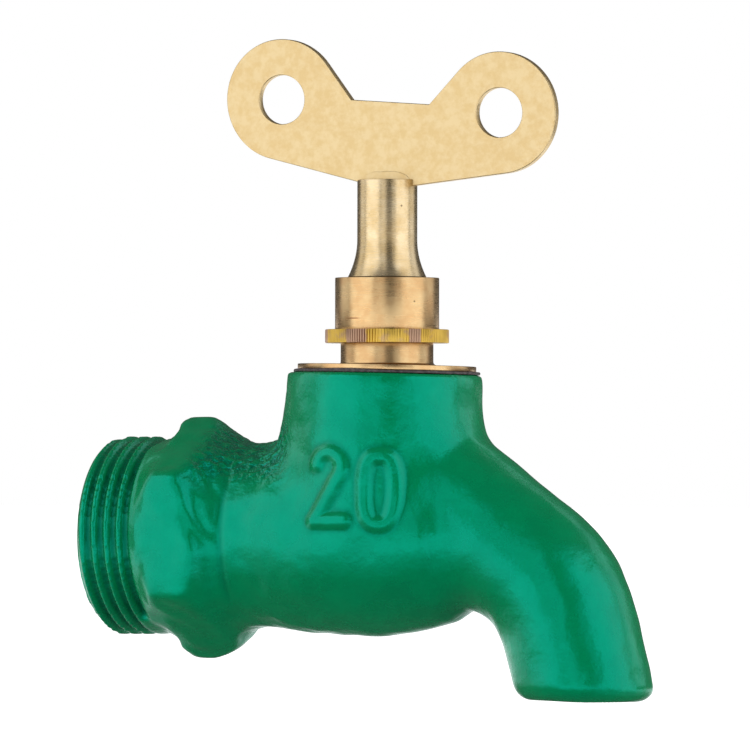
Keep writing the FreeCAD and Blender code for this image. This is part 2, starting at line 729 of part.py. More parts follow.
def check_and_export():
    """Stop if any object failed, then write one file for each piece."""
    doc.recompute()
    failed = [item.Name for item in doc.Objects if {"Invalid", "Error"} & set(item.State)]
    pieces = [item for item in doc.Objects if item.TypeId == "PartDesign::Body"]
    failed += [piece.Label for piece in pieces if piece.Shape.isNull() or not piece.Shape.isValid()]
    failed += [piece.Label for piece in pieces if len(piece.Shape.Solids) != 1]
    if failed:
        raise RuntimeError(f"These did not build: {failed}")
    os.makedirs("parts", exist_ok=True)
    for piece in pieces:
        piece.Shape.exportStep(os.path.join("parts", f"{piece.Label}.step"))
        box = piece.Shape.optimalBoundingBox(True, False)
        print(f"{piece.Label}: {piece.Shape.Volume:.1f} mm3, z {box.ZMin:.2f} to {box.ZMax:.2f}")


make_tap_body()
make_seat()
make_headwork()
make_stem()
make_lock_collar()
make_key()
check_and_export()
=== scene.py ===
"""Looks of a garden tap that opens with a lift-off key.

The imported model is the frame: the casting's axis runs along X, the valve axis stands up along Z, and the
origin is the centre of the inlet's end. Sizes in the classes are millimetres, as on a drawing, and MM turns
them to metres where a mesh is made.
"""
import json
import logging
import math
from collections.abc import Callable
from dataclasses import dataclass
from enum import Enum

import bpy
import numpy as np
from mathutils import Matrix, Vector, noise


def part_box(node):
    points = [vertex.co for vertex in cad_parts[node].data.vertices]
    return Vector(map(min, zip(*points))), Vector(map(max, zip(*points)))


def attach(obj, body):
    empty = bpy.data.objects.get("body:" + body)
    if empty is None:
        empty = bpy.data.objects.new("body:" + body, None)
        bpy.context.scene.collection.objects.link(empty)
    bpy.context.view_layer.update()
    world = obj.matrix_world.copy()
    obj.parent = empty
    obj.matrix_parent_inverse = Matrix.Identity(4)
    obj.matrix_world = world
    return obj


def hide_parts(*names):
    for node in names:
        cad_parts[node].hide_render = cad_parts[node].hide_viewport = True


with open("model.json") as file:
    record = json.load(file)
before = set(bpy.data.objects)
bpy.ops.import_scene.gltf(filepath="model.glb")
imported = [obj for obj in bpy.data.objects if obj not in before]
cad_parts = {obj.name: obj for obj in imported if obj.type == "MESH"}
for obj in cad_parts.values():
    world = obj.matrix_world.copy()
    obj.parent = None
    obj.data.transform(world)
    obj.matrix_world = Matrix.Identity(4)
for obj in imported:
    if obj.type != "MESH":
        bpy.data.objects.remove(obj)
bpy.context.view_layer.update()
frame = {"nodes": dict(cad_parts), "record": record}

MM = 0.001
VALVE_AXIS_X = 39.5
log = logging.getLogger("garden_tap")

Pair = tuple[float, float]
Edges = tuple[float, float, float, float]
Colour = tuple[float, float, float, float]


class Body(Enum):
    """The bodies that the pieces made here ride on. The CAD nodes that stay on show keep their own."""
    TAP = "tap"
    KEY = "key"


def linear(hex_colour: str) -> Colour:
    """Turn an sRGB hex colour into the linear colour that shaders take.

    Args:
        hex_colour: Six hex digits after a hash sign.

    Returns:
        Red, green, blue and an alpha of 1.
    """
    coded = [int(hex_colour[place:place + 2], 16) / 255 for place in (1, 3, 5)]
    red, green, blue = (part / 12.92 if part <= 0.04045 else ((part + 0.055) / 1.055) ** 2.4
                        for part in coded)
    return red, green, blue, 1.0


def add_node(tree: bpy.types.NodeTree, kind: str, settings: dict | None = None,
             inputs: dict | None = None) -> bpy.types.Node:
    """Add a shader node with its settings, and its inputs set or linked.

    Args:
        tree: The node tree that gets the node.
        kind: The node's type name, without ShaderNode in front.
        settings: Attributes of the node.
        inputs: Input name or number to a value, or to the socket that feeds it.

    Returns:
        The new node.
    """
    node = tree.nodes.new(f"ShaderNode{kind}")
    for name, value in (settings or {}).items():
        setattr(node, name, value)
    for name, value in (inputs or {}).items():
        if isinstance(value, bpy.types.NodeSocket):
            tree.links.new(value, node.inputs[name])
        else:
            node.inputs[name].default_value = value
    return node


def set_ramp(node: bpy.types.Node, stops: list[tuple[float, Colour]]) -> bpy.types.NodeSocket:
    """Give a colour ramp its stops.

    Args:
        node: The ramp's node.
        stops: Place and colour of each stop, in order.

    Returns:
        The ramp's colour output.
    """
    elements = node.color_ramp.elements
    while len(elements) < len(stops):
        elements.new(1.0)
    for element, (place, colour) in zip(elements, stops):
        element.position = place
        element.color = colour
    return node.outputs["Color"]


def grey(level: float) -> Colour:
    """A neutral ramp colour of that level."""
    return level, level, level, 1.0


@dataclass(frozen=True)
class Enamel:
    """Gloss enamel, dipped over rough cast iron: it pools smooth, and the skin shows through as lumps; shade
    is painted into its pits and hollows.
    """
    name: str = "gloss enamel on cast iron"
    colour: str = "#00834C"
    pooled_colour: str = "#007B44"
    # Painted shade: the colour that the sand's pits and the hollows are darkened towards.
    painted_shade_colour: str = "#00583C"
    gloss_tint: str = "#20FFF4"
    roughness: float = 0.25
    ior: float = 1.66
    specular_level: float = 0.9
    # Painted shade also dims the gloss in the hollows, down to this level.
    hollow_shade_specular_level: float = 0.1
    patch_mm: float = 4.0
    peel_mm: float = 1.2
    peel_depth_mm: float = 0.06
    grit_mm: float = 0.35
    grit_depth_mm: float = 0.012
    sand_mm: float = 0.85
    sand_depth_mm: float = 0.18
    sand_shade: float = 0.85

    def build(self) -> bpy.types.Material:
        """Make the material: patches in the colour, uneven gloss, and bumps; sand bumps with painted shade in
        their pits, and painted shade in the hollows, where the mesh says so.

        Returns:
            The new material.
        """
        material = bpy.data.materials.new(self.name)
        material.use_nodes = True
        tree = material.node_tree
        shader = tree.nodes["Principled BSDF"]
        place = add_node(tree, "TexCoord").outputs["Object"]
        patches = add_node(tree, "TexNoise", inputs={"Vector": place, "Scale": 1 / (self.patch_mm * MM),
                                                     "Detail": 3.0, "Roughness": 0.6})
        colour = set_ramp(add_node(tree, "ValToRGB", inputs={"Fac": patches.outputs["Fac"]}),
                          [(0.35, linear(self.pooled_colour)), (0.65, linear(self.colour))])
        gloss = add_node(tree, "MapRange", inputs={"Value": patches.outputs["Fac"],
                                                   "From Min": 0.3, "From Max": 0.7,
                                                   "To Min": self.roughness + 0.06,
                                                   "To Max": self.roughness - 0.04})
        peel = add_node(tree, "TexNoise", inputs={"Vector": place, "Scale": 1 / (self.peel_mm * MM),
                                                  "Detail": 2.0})
        grit = add_node(tree, "TexNoise", inputs={"Vector": place, "Scale": 1 / (self.grit_mm * MM),
                                                  "Detail": 1.0})
        waves = add_node(tree, "Bump", inputs={"Strength": 1.0, "Distance": self.peel_depth_mm * MM,
                                               "Height": peel.outputs["Fac"]})
        grain = add_node(tree, "Bump", inputs={"Strength": 1.0, "Distance": self.grit_depth_mm * MM,
                                               "Height": grit.outputs["Fac"],
                                               "Normal": waves.outputs["Normal"]})
        sandy = add_node(tree, "Attribute", {"attribute_name": "sand"}).outputs["Fac"]
        grains = add_node(tree, "TexNoise", inputs={"Vector": place, "Scale": 1 / (self.sand_mm * MM),
                                                    "Detail": 2.0, "Roughness": 0.55})
        crests = add_node(tree, "MapRange", inputs={"Value": grains.outputs["Fac"], "From Min": 0.35,
                                                    "From Max": 0.65})
        heights = add_node(tree, "Math", {"operation": "MULTIPLY"}, {0: crests.outputs["Result"], 1: sandy})
        rough = add_node(tree, "Bump", inputs={"Strength": 1.0, "Distance": self.sand_depth_mm * MM,
                                               "Height": heights.outputs[0],
                                               "Normal": grain.outputs["Normal"]})
        # Painted shade: the pits between the sand's grains and the hollows that the mesh marks are mixed
        # towards the shade colour, and the hollows' reflections are dimmed.
        between = add_node(tree, "Math", {"operation": "SUBTRACT"}, {0: sandy, 1: heights.outputs[0]})
        shade = add_node(tree, "Math", {"operation": "MULTIPLY"}, {0: between.outputs[0], 1: self.sand_shade})
        hollow_shade = add_node(tree, "Attribute", {"attribute_name": "hollow_shade"}).outputs["Fac"]
        dulled = add_node(tree, "MapRange", inputs={"Value": hollow_shade, "To Min": self.specular_level,
                                                    "To Max": self.hollow_shade_specular_level})
        deepest = add_node(tree, "Math", {"operation": "MAXIMUM"}, {0: shade.outputs[0], 1: hollow_shade})
        shaded = add_node(tree, "Mix", {"data_type": "RGBA"}, {"Factor": deepest.outputs[0], "A": colour,
                                                               "B": linear(self.painted_shade_colour)})
        tree.links.new(shaded.outputs["Result"], shader.inputs["Base Color"])
        tree.links.new(gloss.outputs["Result"], shader.inputs["Roughness"])
        tree.links.new(rough.outputs["Normal"], shader.inputs["Normal"])
        tree.links.new(dulled.outputs["Result"], shader.inputs["Specular IOR Level"])
        shader.inputs["IOR"].default_value = self.ior
        shader.inputs["Specular Tint"].default_value = linear(self.gloss_tint)
        return material


class Lay(Enum):
    """Which way the marks of a metal's making run."""
    TURNED = "rings about the valve axis"
    ROLLED = "cloudy, with no one direction"


@dataclass(frozen=True)
class Blemish:
    """A pit or a scratch in bare metal: a small dark spot, round or drawn out sideways."""
    place: tuple[float, float, float]
    half_width: float
    half_height: float
    colour: str = "#5A4630"

    def darken(self, tree: bpy.types.NodeTree, place: bpy.types.NodeSocket,
               colour: bpy.types.NodeSocket) -> bpy.types.NodeSocket:
        """Mix the spot's colour into a metal's.

        Args:
            tree: The metal's node tree.
            place: The place on the object, in metres.
            colour: The metal's colour.

        Returns:
            The colour with the spot in it.
        """
        across, height = 1 / (self.half_width * MM), 1 / (self.half_height * MM)
        offset = add_node(tree, "VectorMath", {"operation": "SUBTRACT"},
                          {0: place, 1: tuple(part * MM for part in self.place)})
        sized = add_node(tree, "VectorMath", {"operation": "MULTIPLY"},
                         {0: offset.outputs["Vector"], 1: (across, across, height)})
        reach = add_node(tree, "VectorMath", {"operation": "LENGTH"}, {0: sized.outputs["Vector"]})
        share = add_node(tree, "MapRange", inputs={"Value": reach.outputs["Value"],
                                                   "From Min": 0.5, "From Max": 1.0,
                                                   "To Min": 0.85, "To Max": 0.0})
        return add_node(tree, "Mix", {"data_type": "RGBA"},
                        {"Factor": share.outputs["Result"], "A": colour,
                         "B": linear(self.colour)}).outputs["Result"]


@dataclass(frozen=True)
class Brass:
    """Bare brass as it comes off the lathe or out of the press: warm, bright, faintly marked and stained."""
    name: str
    colour: str
    stain_colour: str
    roughness: float
    lay: Lay
    stain_mm: float = 2.2
    mark_mm: float = 0.3
    mark_depth_mm: float = 0.00015
    blemishes: tuple[Blemish, ...] = ()

    def build(self) -> bpy.types.Material:
        """Make the material: stains and blemishes in the colour, and fine marks along the lay.

        Returns:
            The new material.
        """
        material = bpy.data.materials.new(self.name)
        material.use_nodes = True
        tree = material.node_tree
        shader = tree.nodes["Principled BSDF"]
        place = add_node(tree, "TexCoord").outputs["Object"]
        stains = add_node(tree, "TexNoise", inputs={"Vector": place, "Scale": 1 / (self.stain_mm * MM),
                                                    "Detail": 4.0, "Roughness": 0.6})
        stained = add_node(tree, "Attribute", {"attribute_name": "stain"}).outputs["Fac"]
        clean = add_node(tree, "Math", {"operation": "MULTIPLY_ADD"}, {0: stained, 1: -0.3,
                                                                       2: stains.outputs["Fac"]})
        colour = set_ramp(add_node(tree, "ValToRGB", inputs={"Fac": clean.outputs[0]}),
                          [(0.38, linear(self.stain_colour)), (0.62, linear(self.colour))])
        for blemish in self.blemishes:
            colour = blemish.darken(tree, place, colour)
        squash = (0.08, 0.08, 1.0) if self.lay is Lay.TURNED else (0.35, 0.35, 0.5)
        along = add_node(tree, "Mapping", inputs={"Vector": place, "Scale": squash})
        marks = add_node(tree, "TexNoise", inputs={"Vector": along.outputs["Vector"],
                                                   "Scale": 1 / (self.mark_mm * MM), "Detail": 3.0})
        gloss = add_node(tree, "MapRange", inputs={"Value": marks.outputs["Fac"],
                                                   "From Min": 0.3, "From Max": 0.7,
                                                   "To Min": self.roughness - 0.01,
                                                   "To Max": self.roughness + 0.03})
        groove = add_node(tree, "Bump", inputs={"Strength": 1.0, "Distance": self.mark_depth_mm * MM,
                                                "Height": marks.outputs["Fac"]})
        tree.links.new(colour, shader.inputs["Base Color"])
        tree.links.new(gloss.outputs["Result"], shader.inputs["Roughness"])
        tree.links.new(groove.outputs["Normal"], shader.inputs["Normal"])
        shader.inputs["Metallic"].default_value = 1.0
        return material


@dataclass(frozen=True)
class Matt:
    """A dark matt stuff, such as moulded rubber or pressed packing: soft grain and no shine."""
    name: str
    colour: str
    dusty_colour: str
    roughness: float
    grain_mm: float
    grain_depth_mm: float

    def build(self) -> bpy.types.Material:
        """Make the material: a dusty bloom in the colour and a fine grain in the bump.

        Returns:
            The new material.
        """
        material = bpy.data.materials.new(self.name)
        material.use_nodes = True
        tree = material.node_tree
        shader = tree.nodes["Principled BSDF"]
        place = add_node(tree, "TexCoord").outputs["Object"]
        grain = add_node(tree, "TexNoise", inputs={"Vector": place, "Scale": 1 / (self.grain_mm * MM),
                                                   "Detail": 3.0})
        colour = set_ramp(add_node(tree, "ValToRGB", inputs={"Fac": grain.outputs["Fac"]}),
                          [(0.35, linear(self.colour)), (0.7, linear(self.dusty_colour))])
        relief = add_node(tree, "Bump", inputs={"Strength": 1.0, "Distance": self.grain_depth_mm * MM,
                                                "Height": grain.outputs["Fac"]})
        tree.links.new(colour, shader.inputs["Base Color"])
        tree.links.new(relief.outputs["Normal"], shader.inputs["Normal"])
        shader.inputs["Roughness"].default_value = self.roughness
        return material


# Deep green and wet-looking, with broken reflections where the skin is wavy, and painted shade in the sand's
# pits, the thread's roots, round the numerals and in the crease.
ENAMEL = Enamel()
# Warm gold with long upright reflections, clean but for a pit and a scratch.
TURNED_BRASS = Brass(name="turned brass", colour="#D3B484", stain_colour="#C8A272", roughness=0.27,
                     lay=Lay.TURNED, blemishes=(Blemish((45.13, -3.90, 30.8), 0.16, 0.16),
                                                Blemish((37.52, -6.56, 28.6), 1.5, 0.1, "#8A5030")))
# Paler than the turned pieces and as smooth, for it is drawn through a die and only polished.
DRAWN_BRASS = Brass(name="drawn brass tube", colour="#DCC7A1", stain_colour="#CBB183", roughness=0.26,
                    lay=Lay.TURNED, stain_mm=3.0,
                    blemishes=(Blemish((42.61, -2.44, 43.4), 0.16, 0.16),
                               Blemish((43.7, -3.0, 35.2), 0.1, 0.5, "#A07848")))
# Flat and softly bright, clouded by the rolls, with no reflection that has an edge.
SHEET_BRASS = Brass(name="rolled sheet brass", colour="#D1BB8F", stain_colour="#CAB07F", roughness=0.38,
                    lay=Lay.ROLLED, stain_mm=1.1, mark_depth_mm=0.0012)
# Yellow where the tool has cut fresh notches, and pinkish brown where the metal has tarnished.
KNURLED_BRASS = Brass(name="knurled brass", colour="#C6A44C", stain_colour="#A58670", roughness=0.32,
                      lay=Lay.TURNED, stain_mm=1.6)
# Nearly black, with a pale bloom: a dull line between two bright pieces.
GASKET_RUBBER = Matt(name="nitrile rubber", colour="#2B2526", dusty_colour="#5A4C50", roughness=0.6,
                     grain_mm=0.5, grain_depth_mm=0.01)
# Dark grey and fibrous, pressed until it is nearly smooth.
PACKING = Matt(name="graphited packing cord", colour="#2A2A2A", dusty_colour="#4A4A4A", roughness=0.7,
               grain_mm=0.4, grain_depth_mm=0.03)


def deselect() -> None:
    """Leave no object selected, because an operator acts on all that is."""
    for thing in bpy.context.selected_objects:
        thing.select_set(False)


def take(piece: bpy.types.Object) -> None:
    """Select one object alone and make it the active one."""
    deselect()
    piece.select_set(True)
    bpy.context.view_layer.objects.active = piece


def copy_of_node(node: str, name: str) -> bpy.types.Object:
    """Copy a CAD node's mesh into a piece of its own, with its loose triangles merged.

    Args:
        node: The CAD node.
        name: The new piece's name.

    Returns:
        The new piece, at the origin.
    """
    piece = bpy.data.objects.new(name, frame["nodes"][node].data.copy())
    piece.data.name = name
    piece.data.materials.clear()
    bpy.context.scene.collection.objects.link(piece)
    take(piece)
    bpy.ops.object.mode_set(mode="EDIT")
    bpy.ops.mesh.select_all(action="SELECT")
    bpy.ops.mesh.remove_doubles(threshold=0.001 * MM)
    bpy.ops.object.mode_set(mode="OBJECT")
    return piece


def apply_modifier(piece: bpy.types.Object, kind: str, **settings: object) -> None:
    """Add a modifier to a piece and apply it at once.

    Args:
        piece: The piece.
        kind: The modifier's type.
        settings: Its settings, by name.
    """
    take(piece)
    modifier = piece.modifiers.new(kind.lower(), kind)
    for name, value in settings.items():
        setattr(modifier, name, value)
    bpy.ops.object.modifier_apply(modifier=modifier.name)


def dress(piece: bpy.types.Object, material: bpy.types.Material, body: Body,
          replaced: tuple[str, ...] = ()) -> bpy.types.Object:
    """Give a piece its material and body, hide the CAD nodes that it stands for, and report it.

    Args:
        piece: The finished piece, with its place in its mesh.
        material: Its material.
        body: The body it moves with.
        replaced: The CAD nodes that it stands for.

    Returns:
        The same piece.
    """
    piece.data.materials.clear()
    piece.data.materials.append(material)
    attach(piece, body.value)
    if replaced:
        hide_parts(*replaced)
    triangles = sum(len(face.vertices) - 2 for face in piece.data.polygons)
    log.info("%s: %d triangles, rides on %s", piece.name, triangles, body.value)
    return piece


def mm_box(node: str) -> tuple[Vector, Vector]:
    """A node's lowest and highest corner, in millimetres."""
    low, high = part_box(node)
    return Vector(low) / MM, Vector(high) / MM


def rounded(corners: list[Pair], radius: float, steps: int = 3, closed: bool = True) -> list[Pair]:
    """Round the corners of a profile.

    Args:
        corners: The profile's corners, as radius and height.
        radius: The rounding's reach along each side.
        steps: Points on each rounding, less one.
        closed: Whether the last corner leads back to the first; if not, these two stay sharp.

    Returns:
        The rounded profile.
    """
    points: list[Pair] = []
    for index, corner in enumerate(corners):
        if not closed and index in (0, len(corners) - 1):
            points.append(corner)
            continue
        here = Vector(corner)
        before = Vector(corners[index - 1]) - here
        after = Vector(corners[(index + 1) % len(corners)]) - here
        reach = min(radius, before.length / 2.2, after.length / 2.2)
        start, end = here + before.normalized() * reach, here + after.normalized() * reach
        for step in range(steps + 1):
            share = step / steps
            curve = start * (1 - share) ** 2 + here * 2 * share * (1 - share) + end * share ** 2
            points.append((curve.x, curve.y))
    return points


@dataclass(frozen=True)
class Turning:
    """A piece turned about the valve axis from a profile.

    The profile's points are radius and height, and none of them lies on the axis. A closed profile gives a
    ring. An open one starts and ends beside the axis, and its two ends are capped.
    """
    name: str
    profile: list[Pair]
    closed: bool = True
    segments: int = 144

    def build(self) -> bpy.types.Object:
        """Extrude a circle from point to point of the profile, and join or cap its first and last loop.

        Returns:
            The turned piece.
        """
        deselect()
        (radius, height), rest = self.profile[0], self.profile[1:]
        bpy.ops.mesh.primitive_circle_add(vertices=self.segments, radius=radius * MM,
                                          location=(VALVE_AXIS_X * MM, 0, height * MM))
        piece = bpy.context.object
        piece.name = piece.data.name = self.name
        bpy.ops.object.mode_set(mode="EDIT")
        bpy.ops.mesh.select_all(action="SELECT")
        for next_radius, next_height in rest:
            bpy.ops.mesh.extrude_edges_move(
                TRANSFORM_OT_translate={"value": (0, 0, (next_height - height) * MM)})
            grow = next_radius / radius
            bpy.ops.transform.resize(value=(grow, grow, 1),
                                     center_override=(VALVE_AXIS_X * MM, 0, next_height * MM))
            radius, height = next_radius, next_height
        bpy.ops.mesh.select_all(action="DESELECT")
        bpy.ops.mesh.select_mode(type="EDGE")
        bpy.ops.mesh.select_non_manifold()
        if self.closed:
            bpy.ops.mesh.bridge_edge_loops()
        else:
            bpy.ops.mesh.edge_face_add()
        bpy.ops.mesh.select_all(action="SELECT")
        bpy.ops.mesh.normals_make_consistent(inside=False)
        bpy.ops.object.mode_set(mode="OBJECT")
        bpy.ops.object.transform_apply(location=True, rotation=True, scale=True)
        bpy.ops.object.shade_smooth_by_angle(angle=math.radians(32))
        return piece


class Surface:
    """A mesh's points, neighbours and normals as arrays, for shaping by hand that no operator gives."""

    def __init__(self, piece: bpy.types.Object) -> None:
        """Read the mesh.

        Args:
            piece: The piece that is shaped.
        """
        self.mesh = piece.data
        self.count = len(self.mesh.vertices)
        flat = np.empty(self.count * 3)
        self.mesh.vertices.foreach_get("co", flat)
        self.points = flat.reshape(-1, 3) / MM
        ends = np.empty(len(self.mesh.edges) * 2, dtype=np.int32)
        self.mesh.edges.foreach_get("vertices", ends)
        self.ends = ends.reshape(-1, 2)
        self.degrees = np.maximum(np.bincount(self.ends.ravel(), minlength=self.count), 1)

    def write(self) -> None:
        """Put the points back into the mesh."""
        self.mesh.vertices.foreach_set("co", (self.points * MM).ravel())
        self.mesh.update()

    def normals(self) -> np.ndarray:
        """The outward normals, as the points stand now.

        Returns:
            One unit normal for each point.
        """
        self.write()
        flat = np.empty(self.count * 3)
        self.mesh.vertex_normals.foreach_get("vector", flat)
        return flat.reshape(-1, 3)

    def neighbour_mean(self, values: np.ndarray) -> np.ndarray:
        """The mean of each point's neighbours.

        Args:
            values: One number for each point.

        Returns:
            One mean for each point.
        """
        first, second = self.ends[:, 0], self.ends[:, 1]
        total = np.bincount(first, weights=values[second], minlength=self.count)
        total += np.bincount(second, weights=values[first], minlength=self.count)
        return total / self.degrees

    def smooth(self, share: np.ndarray, rounds: int, fill_only: bool = False) -> None:
        """Let the surface flow towards its neighbours' mean.

        Args:
            share: How far each point follows, from 0 to 1.
            rounds: How often it is done.
            fill_only: Whether points only move outwards, so that hollows fill and crests stay.
        """
        for turn in range(rounds):
            if fill_only and turn % 5 == 0:
                normals = self.normals()
            means = np.column_stack([self.neighbour_mean(self.points[:, axis]) for axis in range(3)])
            step = (means - self.points) * share[:, None]
            if fill_only:
                outward = np.einsum("ij,ij->i", step, normals)
                step = normals * np.maximum(outward, 0)[:, None]
            self.points += step
        self.write()

    def spread(self, start: int, free: np.ndarray) -> np.ndarray:
        """The points that can be reached from one point over free points alone.

        Args:
            start: The first point's number.
            free: Which points may be crossed.

        Returns:
            Which points are reached.
        """
        reached = np.zeros(self.count, dtype=bool)
        reached[start] = True
        first, second = self.ends[:, 0], self.ends[:, 1]
        while True:
            before = reached.sum()
            touched = reached[first] | reached[second]
            reached[first[touched & free[first]]] = True
            reached[second[touched & free[second]]] = True
            if reached.sum() == before:
                return reached

    def raise_by(self, heights: np.ndarray) -> None:
        """Move each point along its normal.

        Args:
            heights: How far, in millimetres.
        """
        self.points += self.normals() * heights[:, None]
        self.write()


def ramp(low: float, high: float, values: np.ndarray) -> np.ndarray:
    """A soft step from 0 at low to 1 at high for each value; low may be the larger."""
    share = np.clip((values - low) / (high - low), 0, 1)
    return share * share * (3 - 2 * share)


def band(edges: Edges, values: np.ndarray) -> np.ndarray:
    """A soft band for each value: 0 up to the first edge, 1 from the second to the third, 0 past the last.

    Args:
        edges: The four edges, in order.
        values: One number for each point.

    Returns:
        One share for each point, from 0 to 1.
    """
    start, full, fading, end = edges
    return ramp(start, full, values) * ramp(end, fading, values)


def lumps(points: np.ndarray, size: float, seed: float) -> np.ndarray:
    """Smooth bumps and hollows between about -1 and 1.

    Args:
        points: The places, in millimetres.
        size: How far apart the bumps are.
        seed: Shifts the pattern, so that two of one size differ.

    Returns:
        One height for each place.
    """
    shift = Vector((seed, seed * 1.7, seed * 0.6))
    return np.array([noise.noise(Vector(point) / size + shift) for point in points])


@dataclass(frozen=True)
class Numeral:
    """One cast numeral: the middle line of its stroke, seen from the front, across and up in millimetres."""
    strokes: tuple[tuple[Pair, ...], ...]

    def distance(self, across: np.ndarray, up: np.ndarray) -> np.ndarray:
        """How far each place lies from the stroke's middle line.

        Args:
            across: The places' distances across, in millimetres.
            up: Their heights.

        Returns:
            One distance for each place.
        """
        nearest = np.full(len(across), np.inf)
        places = np.column_stack([across, up])
        for stroke in self.strokes:
            for start, end in zip(stroke, stroke[1:]):
                start, along = np.array(start), np.array(end) - np.array(start)
                share = np.clip((places - start) @ along / (along @ along), 0, 1)
                gaps = places - start - share[:, None] * along
                nearest = np.minimum(nearest, np.hypot(gaps[:, 0], gaps[:, 1]))
        return nearest


def arc(centre: Pair, radii: Pair, start: float, end: float, steps: int = 16,
        squareness: float = 2.0) -> tuple[Pair, ...]:
    """Points along an arc of an oval.

    Args:
        centre: The oval's centre.
        radii: Its half width and half height.
        start: The first point's angle in degrees.
        end: The last point's angle.
        steps: Points on the arc, less one.
        squareness: 2 for an ellipse, and more for fuller corners.

    Returns:
        The points, across and up.
    """
    points = []
    for step in range(steps + 1):
        angle = math.radians(start + (end - start) * step / steps)
        across, up = math.cos(angle), math.sin(angle)
        points.append((centre[0] + radii[0] * math.copysign(abs(across) ** (2 / squareness), across),
                       centre[1] + radii[1] * math.copysign(abs(up) ** (2 / squareness), up)))
    return tuple(points)


@dataclass(frozen=True)
class Nudge:
    """A soft shift of the casting's skin round one place, where the rough casting strays from its drawing."""
    centre: Pair
    reach: float
    shift: Pair

    def apply(self, surface: Surface) -> None:
        """Shift the points round the centre, least at the reach's end.

        Args:
            surface: The casting's points, seen from the side along x and z.
        """
        away = np.hypot(surface.points[:, 0] - self.centre[0], surface.points[:, 2] - self.centre[1])
        share = ramp(self.reach, self.reach * 0.25, away)
        surface.points[:, 0] += self.shift[0] * share
        surface.points[:, 2] += self.shift[1] * share


